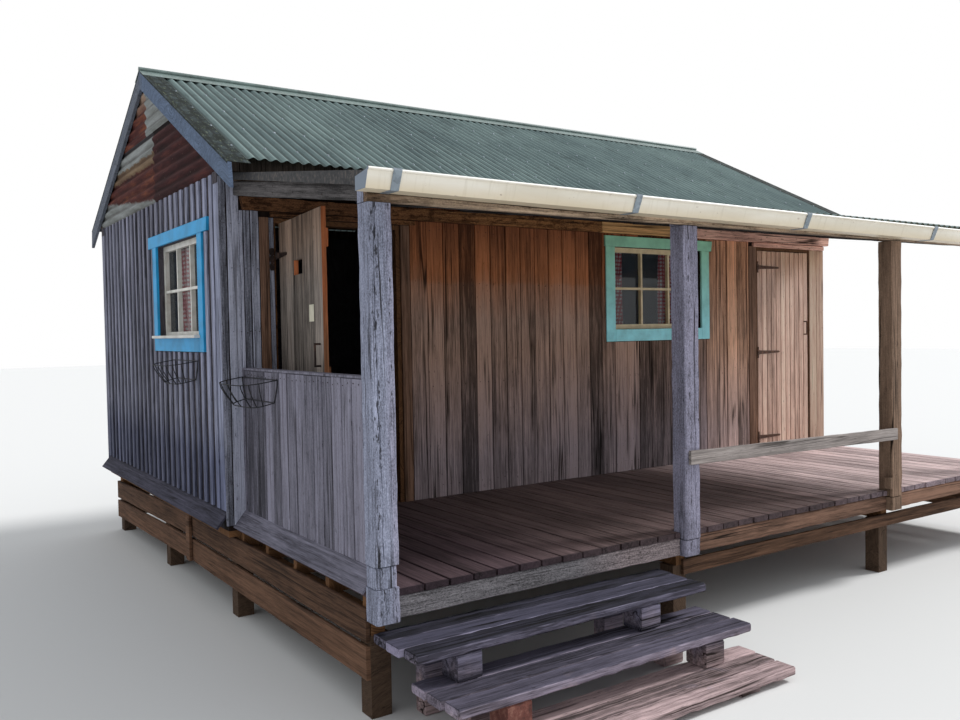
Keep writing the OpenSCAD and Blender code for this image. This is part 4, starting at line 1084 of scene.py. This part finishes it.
def plank_door(door, seed, turn, width, count, holes, finish, back, edge=0, gap=2):
    """Boards on the leaf's face and ledges behind; edge = a fresh strip along the free side."""
    name, slot, body = door + "_planks", door + "_boards", door + "_leaf"
    shape, ledges = Shape(seed, turn), Shape(seed + 5, turn)
    pitch = (width - edge) / count
    for k in range(count):
        shade = shape.draw.random()
        left = LEAF_GAP + k * pitch
        for x0, x1, z0, z1 in cut_round((left + gap / 2, left + pitch - gap / 2, 0, DOOR_H), holes):
            shape.board((x0, shape.draw.uniform(0, 1.5), z0), (x1, BOARD_BACK, z1), 2, shade, wear=1,
                        step=150)
    shape.piece(name, finish, slot, body, door)
    for z in LEDGE_Z:
        ledges.board((LEDGE_IN[0], BOARD_BACK + FIT, z), (width - LEDGE_IN[1], LEDGE_BACK, z + LEDGE_H), 0)
    ledges.piece(name + "_ledges", back, slot, body, door)


def peep_lining():
    """Fresh wood at the front door's free edge and inside its peep hole."""
    shape = Shape(77, FRONT_DOOR)
    x0, _, z0, z1 = PEEP_HOLE
    shape.board((x0 - 3, FIT, z0 - 3), (x0 + 2, BOARD_BACK - 1, z1 + 3), 2, 0.6, edge=1, wear=0.3, step=60)
    right = LEAF_GAP + FRONT_LEAF
    shape.board((right - 5, FIT, 0), (right, BOARD_BACK - FIT, DOOR_H), 2, 0.4, edge=1, step=150)
    shape.piece("front_door_edges", "edge_timber", "front_door_boards", "front_door_leaf")


def door_plate():
    """A small bare enamel plate on the front door."""
    Shape(78, FRONT_DOOR).board(*DOOR_PLATE, 2, 0.5, edge=1, wear=0.2, step=30, ragged=0).piece(
        "front_door_plate", "plate_enamel", "cream_paint", "front_door_leaf")


def lobed(x, z, wide, high, lobes=3, steps=8):
    """An upright plate's outline with rounded lobes one above the other."""
    pitch = high / lobes
    right = []
    for k in range(lobes):
        middle = z - high / 2 + (k + 0.5) * pitch
        for i in range(steps + 1):
            turn = -math.pi / 2 + math.pi * i / steps
            right.append((x + wide * (0.35 + 0.65 * math.cos(turn)), middle + pitch / 2 * math.sin(turn)))
    return right + [(2 * x - a, b) for a, b in reversed(right)]


STRAP_Z, HINGE_Z = (785, 1623, 2461), (890, 2384)
STRAP_BOLTS, STORE_PLATE_X, STORE_PLATE_H = (5335, 5430, 5560), (5284, 5305), 58
HINGE_X, HINGE_W, HINGE_H = 335, 17, 150


def hinge_plates():
    """The upright plates of the hinges, on the wall beside the doors."""
    front, store = Shape(79), Shape(80)
    for z in HINGE_Z:
        front.plate(lobed(HINGE_X, z, HINGE_W, HINGE_H), -19, -12.5, 1)
    for z in STRAP_Z:
        store.board((STORE_PLATE_X[0], -24, z - STORE_PLATE_H), (STORE_PLATE_X[1], -18.2, z + STORE_PLATE_H),
                    2, 0.5, wear=0.6, step=40)
    front.piece("front_hinge_plates", "black_iron", "dark_iron")
    store.piece("store_hinge_plates", "brown_iron", "dark_iron")


plank_door("front_door", 71, FRONT_DOOR, FRONT_LEAF, 6, [PEEP_HOLE], "door_timber", "edge_timber", edge=5)
plank_door("store_door", 72, STORE_DOOR, STORE_LEAF, 11, [], "store_timber", "casing_timber", gap=8)
peep_lining()
door_plate()
hinge_plates()


# Geometry Nodes: round heads on points, and wire along edges
def new_tree(name, inputs):
    """A node tree with these named inputs and one mesh coming out, and its inputs' sockets."""
    tree = bpy.data.node_groups.new(name, "GeometryNodeTree")
    for label, kind in inputs:
        tree.interface.new_socket(name=label, in_out="INPUT", socket_type="NodeSocket" + kind)
    tree.interface.new_socket(name="Mesh", in_out="OUTPUT", socket_type="NodeSocketGeometry")
    return tree, tree.nodes.new("NodeGroupInput").outputs


def finish_tree(tree, start, shape):
    """Instances made real and given their finish."""
    real = new_node(tree, "GeometryNodeRealizeInstances", {"Geometry": shape})
    coat = new_node(tree, "GeometryNodeSetMaterial", {"Geometry": real.outputs["Geometry"],
                                                      "Material": start["Finish"]})
    new_node(tree, "NodeGroupOutput", {"Mesh": coat.outputs["Geometry"]})
    return tree


HEAD_SIDES, HEAD_TAPER = 10, 0.55
HEAD_SMALLEST, HEAD_LARGEST = (0.8, 0.8, 0.8), (1.2, 1.2, 1.0)


def fastening_tree():
    """Sets a small round head on every point of a mesh, turned to face one way."""
    tree, start = new_tree("fastenings", (
        ("Points", "Geometry"), ("Head radius", "Float"), ("Head height", "Float"),
        ("Facing", "Vector"), ("Seed", "Int"), ("Finish", "Material")))
    radius = start["Head radius"]
    top = new_node(tree, "ShaderNodeMath", {0: radius, 1: HEAD_TAPER}, operation="MULTIPLY")
    head = new_node(tree, "GeometryNodeMeshCone", {
        "Vertices": HEAD_SIDES, "Radius Bottom": radius, "Radius Top": top.outputs[0],
        "Depth": start["Head height"]})
    size = new_node(tree, "FunctionNodeRandomValue", {
        0: HEAD_SMALLEST, 1: HEAD_LARGEST, "Seed": start["Seed"]}, data_type="FLOAT_VECTOR")
    spots = new_node(tree, "GeometryNodeInstanceOnPoints", {
        "Points": start["Points"], "Instance": head.outputs["Mesh"],
        "Rotation": start["Facing"], "Scale": size.outputs["Value"]})
    return finish_tree(tree, start, spots.outputs["Instances"])


def wire_tree():
    """Turns a mesh's edges into round wire."""
    tree, start = new_tree("wires", (
        ("Edges", "Geometry"), ("Wire radius", "Float"), ("Finish", "Material")))
    lines = new_node(tree, "GeometryNodeMeshToCurve", {"Mesh": start["Edges"]})
    ring = new_node(tree, "GeometryNodeCurvePrimitiveCircle", {
        "Resolution": 6, "Radius": start["Wire radius"]})
    tube = new_node(tree, "GeometryNodeCurveToMesh", {
        "Curve": lines.outputs["Curve"], "Profile Curve": ring.outputs["Curve"], "Fill Caps": True})
    return finish_tree(tree, start, tube.outputs["Mesh"])


FASTENINGS, WIRES = fastening_tree(), wire_tree()


def grow(name, tree, points, edges, values, finish, body="hut"):
    """What a tree makes of these points and edges of the hut, as a plain mesh."""
    carrier = put(name + "_points", new_mesh(name + "_points", points, edges))
    modifier = carrier.modifiers.new(name, "NODES")
    modifier.node_group = tree
    values = {**values, "Finish": FINISHED[finish]}
    for item in tree.interface.items_tree:
        if item.item_type == "SOCKET" and item.in_out == "INPUT" and item.name in values:
            modifier[item.identifier] = values[item.name]
    bpy.context.view_layer.update()
    real = bpy.data.meshes.new_from_object(
        carrier.evaluated_get(bpy.context.evaluated_depsgraph_get()))
    bpy.data.objects.remove(carrier)
    real.name = name
    return carry(name, real, finish, body)


def fasten(name, points, radius, height, facing, seed, finish, body="hut"):
    """Round heads at these points of the hut."""
    values = {"Head radius": radius * MM, "Head height": height * MM, "Facing": facing, "Seed": seed}
    return grow(name, FASTENINGS, points, [], values, finish, body)


FORWARD, LEFTWARD = (math.pi / 2, 0, 0), (0, -math.pi / 2, 0)
MAIN_ROWS = [115 + i * 461.9 for i in range(5)]
VERANDA_ROWS = (60, 980, 1900)


def roof_screws():
    """Screws in the crests over the battens, in every third wave."""
    main = (IRON_START, 28, MAIN_ROWS, RIDGE_Y, IRON_RIDGE, PITCH)
    lower = (VERANDA_START, 27, VERANDA_ROWS, -2, VERANDA_IRON, VERANDA_PITCH)
    for seed, name, slope, back in ((1, "roof_screws_front", main, False),
                                    (2, "roof_screws_back", main, True),
                                    (3, "veranda_screws", lower, False)):
        start, count, rows, ridge_y, ridge_z, pitch = slope
        points = []
        for down in rows:
            y = ridge_y - down * math.cos(pitch) - CREST * math.sin(pitch)
            z = ridge_z - down * math.sin(pitch) + CREST * math.cos(pitch)
            points += [(start + (3 * k + 1.5) * WAVE, HOUSE_W - y if back else y, z)
                       for k in range(count)]
        fasten(name, points, 9, 6, (-pitch if back else pitch, 0, 0), seed, "zinc")


NAIL_ROWS, WINDOW_NAIL_ROWS = (720, 1480, 2240, 2640), (720, 1480, 2860)
NEAR_NAIL_ROWS, HALF_NAIL_ROWS = (900, 1395, 1900, 2330, 2620), (675, 1620)
RAFTER_NAILS = (-1880, -1400, -700, -120)


def nails():
    """Nail heads in the boards, the straps and the rafters."""
    draw = random.Random(5)
    wall, sides = [], []
    x = PLANK_START + PLANK_W / 2
    while x < STORE_ZONE[0]:
        clear = x < WINDOW_ZONE[0] or x > WINDOW_ZONE[1]
        for z in NAIL_ROWS if clear else WINDOW_NAIL_ROWS:
            for off in (-38, 38):
                wall.append((x + off + draw.uniform(-5, 5), -11.5, z + draw.uniform(-9, 9)))
        x += PLANK_PITCH
    for x0, x1, proud, _ in NEAR_BOARDS:
        wall += [(x0 + (x1 - x0) * share, -proud + 1.5, z + draw.uniform(-12, 12))
                 for z in NEAR_NAIL_ROWS for share in (0.25, 0.75)]
    for x in RAFTER_X:
        for y in RAFTER_NAILS:
            z = LEDGER_TOP + y * VERANDA_FALL
            sides += [(x + 0.8, y + draw.uniform(-9, 9), z + lift) for lift in (28, 66)]
    for at in range(POST_BACK + 60, -30, HALF_PITCH):
        sides += [(HALF_WALL_X + 1, at + off, z + draw.uniform(-8, 8))
                  for z in HALF_NAIL_ROWS for off in (-30, 30)]
    straps = [(x, -3, z) for z in STRAP_Z for x in STRAP_BOLTS]
    plates = [(STORE_PLATE_X[0] + 10, -23.5, z + off) for z in STRAP_Z for off in (-42, 0, 42)]
    plates += [(HINGE_X + 2, -18.5, z + off) for z in HINGE_Z for off in (-41, 0, 41)]
    fasten("wall_nails", wall, 3.6, 2.2, FORWARD, 11, "black_iron")
    fasten("side_nails", sides, 3.8, 3, LEFTWARD, 12, "black_iron")
    fasten("store_strap_bolts", straps, 6, 4, FORWARD, 13, "brown_iron", body="store_door_leaf")
    fasten("hinge_plate_bolts", plates, 5, 4, FORWARD, 14, "black_iron")


roof_screws()
nails()

BASKET_OUT, BASKET_FOOT, RIM_SAG = 196, 0.97, 30


def basket(name, wall_x, y0, y1, top, foot):
    """A wall basket of wire: a wide rim, a smaller one low down, and bowed ribs between them."""
    steps = 16
    middle, half = (y0 + y1) / 2, (y1 - y0) / 2
    points, edges = [], []

    def bar(ends):
        first = len(points)
        points.extend(ends)
        edges.extend((i, i + 1) for i in range(first, len(points) - 1))

    def at(turn, share):
        """A point of the basket's skin: turn runs round its front, share from rim to foot."""
        side = math.copysign(abs(math.cos(turn)) ** 0.5, math.cos(turn))
        slim = 1 - 0.42 * share ** 1.6
        front = math.sin(turn) ** 0.6
        sag = RIM_SAG * front
        z = top - sag - share * (top - foot - sag * (1 - share))
        return (wall_x - 3 - BASKET_OUT * front * slim,
                middle + half * side * (1 - 0.2 * share ** 1.6), z)

    for share in (0, BASKET_FOOT):
        rim = [at(math.pi * i / steps, share) for i in range(steps + 1)]
        bar(rim)
        bar([rim[0], rim[-1]])
    for i, joints in [(i, 6) for i in range(2, steps - 1, 2)] + [(0, 3), (steps, 3)]:
        bar([at(math.pi * i / steps, k / joints * BASKET_FOOT) for k in range(joints + 1)])
    grow(name, WIRES, points, edges, {"Wire radius": 3.4 * MM}, "wire_iron")


basket("wall_basket", -END_PROUD, 520, 1090, 1707, 1570)
basket("half_wall_basket", HALF_WALL_X, -640, -24, 1608, 1464)


# Windows
WINDOW_W, WINDOW_H, TRIM_W, TRIM_T, TRIM_HEAD = 1080, 712, 105, 22, 94
FRONT_WINDOW_X, END_WINDOW_Y, SILL_Z = 3415, 470, 1875
FRONT_TURN = Matrix.Translation((FRONT_WINDOW_X, 0, SILL_Z))
LEFT_TURN = Matrix.Translation((0, END_WINDOW_Y + WINDOW_W, SILL_Z)) @ Matrix.Rotation(
    -math.pi / 2, 4, "Z")
RIGHT_TURN = Matrix.Translation((HOUSE_L, END_WINDOW_Y, SILL_Z)) @ Matrix.Rotation(math.pi / 2, 4, "Z")


def window_trim(name, turns, over, finish, slot, node):
    """Boards round the windows, drawn from each opening's low left corner, out from the wall."""
    shape = Shape(82)
    for turn in turns:
        shape.turn = turn
        for u0, u1, v0, v1, along in ((-TRIM_W, 0, -TRIM_W, WINDOW_H + FIT, 2),
                                      (WINDOW_W, WINDOW_W + TRIM_W, -TRIM_W, WINDOW_H + FIT, 2),
                                      (FIT, WINDOW_W - FIT, -TRIM_W, 0, 0)):
            shape.board((u0, -TRIM_T, v0), (u1, -FIT, v1), along, wear=1, step=200, ragged=1)
        shape.board((-TRIM_W - over[0], -TRIM_T - 1, WINDOW_H + 1),
                    (WINDOW_W + TRIM_W + over[1] + 14, -FIT, WINDOW_H + TRIM_HEAD), 0,
                    wear=1.2, step=200, ragged=2, skew=(0, 14))
    shape.piece(name, finish, slot, node=node)


window_trim("front_trim_boards", [FRONT_TURN], (6, 28), "turquoise_paint", "green_paint",
            "front_window_trim")
window_trim("end_trim_boards", [LEFT_TURN, RIGHT_TURN], (120, 120), "sky_blue_paint", "blue_paint",
            "end_window_trims")


def sills():
    """White sill boards under the end sashes."""
    shape = Shape(81)
    for x0, x1 in ((-62, -2), (HOUSE_L + 2, HOUSE_L + 62)):
        shape.board((x0, END_WINDOW_Y - 30, SILL_Z - 7), (x1, END_WINDOW_Y + WINDOW_W + 30, SILL_Z + 15),
                    1, 0.5, edge=4, wear=0.5)
    shape.piece("end_sills", "white_paint", "cream_paint")


sills()

CURTAIN_TOP, CURTAIN_FOOT, CURTAIN_WAVE = 2560, 1880, 26
FRONT_IN, END_IN = 142, 135


def curtain(name, start, end, depth, folds, across, facing=1):
    """A gathered check curtain: a sheet in even folds, wider at its foot."""
    columns, rows = folds * 12, 24
    across_row = columns + 1

    def line(u, v):
        swing = CURTAIN_WAVE * (0.55 + 0.45 * v)
        turn = 2 * math.pi * folds * u + 0.7 * math.sin(3 * v)
        return start + (end - start) * u, depth + facing * swing * math.sin(turn)

    points, weft = [], []
    for r in range(rows + 1):
        v = r / rows
        z = CURTAIN_TOP + (CURTAIN_FOOT - CURTAIN_TOP) * v
        run, last = 0.0, line(0, v)
        for c in range(across_row):
            s, d = line(c / columns, v)
            run += math.hypot(s - last[0], d - last[1]) * MM
            last = (s, d)
            points.append((s, d, z) if across == "x" else (d, s, z))
            weft += [run, (CURTAIN_TOP - z) * MM, 0]
    faces = [(r * across_row + c, r * across_row + c + 1,
              (r + 1) * across_row + c + 1, (r + 1) * across_row + c)
             for r in range(rows) for c in range(columns)]
    mesh = new_mesh(name, points, faces=faces)
    mesh.attributes.new("weft", "FLOAT_VECTOR", "POINT").data.foreach_set("vector", weft)
    for polygon in mesh.polygons:
        polygon.use_smooth = True
    made = carry(name, mesh, "gingham")


curtain("front_curtain_left", 3450, 3640, FRONT_IN, 4, "x")
curtain("front_curtain_right", 4100, 4480, FRONT_IN, 6, "x")
for end_name, inside, side in (("end", END_IN, 1), ("right", HOUSE_L - END_IN, -1)):
    curtain(end_name + "_curtain_far", 1180, 1450, inside, 5, "y", side)
    curtain(end_name + "_curtain_near", 500, 680, inside, 4, "y", side)


# Studio
SUN_WAY, SUN_STRENGTH, SUN_SPREAD = (-0.75, 0.15, -0.64), 3.0, math.radians(14)
SKY_TINT, SKY_STRENGTH = (0.93, 0.96, 1, 1), 0.8
FLOOR_TONE, FLOOR_HALF = (0.66, 0.66, 0.65, 1), 60


def pale_floor():
    ground = bpy.data.meshes.new("ground")
    ground.from_pydata([(x * FLOOR_HALF, y * FLOOR_HALF, 0)
                        for x, y in ((-1, -1), (1, -1), (1, 1), (-1, 1))], [], [(0, 1, 2, 3)])
    Finish("floor", 0.9).shader.inputs["Base Color"].default_value = FLOOR_TONE
    ground.materials.append(FINISHED["floor"])
    put("ground", ground)


def soft_sun():
    sun = bpy.data.lights.new("key", "SUN")
    sun.energy, sun.angle = SUN_STRENGTH, SUN_SPREAD
    put("key", sun).rotation_euler = Vector(SUN_WAY).to_track_quat("-Z", "Y").to_euler()


def even_sky():
    """A plain sky that shows white to the camera, in glass and in metal."""
    world = bpy.data.worlds.new("sky")
    bpy.context.scene.world = world
    world.use_nodes = True
    tree = world.node_tree
    tree.nodes.clear()
    ray = new_node(tree, "ShaderNodeLightPath").outputs
    bright = new_node(tree, "ShaderNodeMath", {0: ray["Is Glossy Ray"], 1: ray["Is Transmission Ray"]},
                      operation="MAXIMUM")
    seen = new_node(tree, "ShaderNodeMath", {0: ray["Is Camera Ray"], 1: bright.outputs[0]},
                    operation="MAXIMUM")
    light = new_node(tree, "ShaderNodeBackground", {"Color": SKY_TINT, "Strength": SKY_STRENGTH})
    white = new_node(tree, "ShaderNodeBackground", {"Color": (1, 1, 1, 1), "Strength": 1.0})
    both = new_node(tree, "ShaderNodeMixShader", {0: seen.outputs[0], 1: light.outputs[0],
                                                  2: white.outputs[0]})
    new_node(tree, "ShaderNodeOutputWorld", {"Surface": both.outputs[0]})


pale_floor()
soft_sun()
even_sky()
bpy.context.scene.view_settings.view_transform = "Standard"
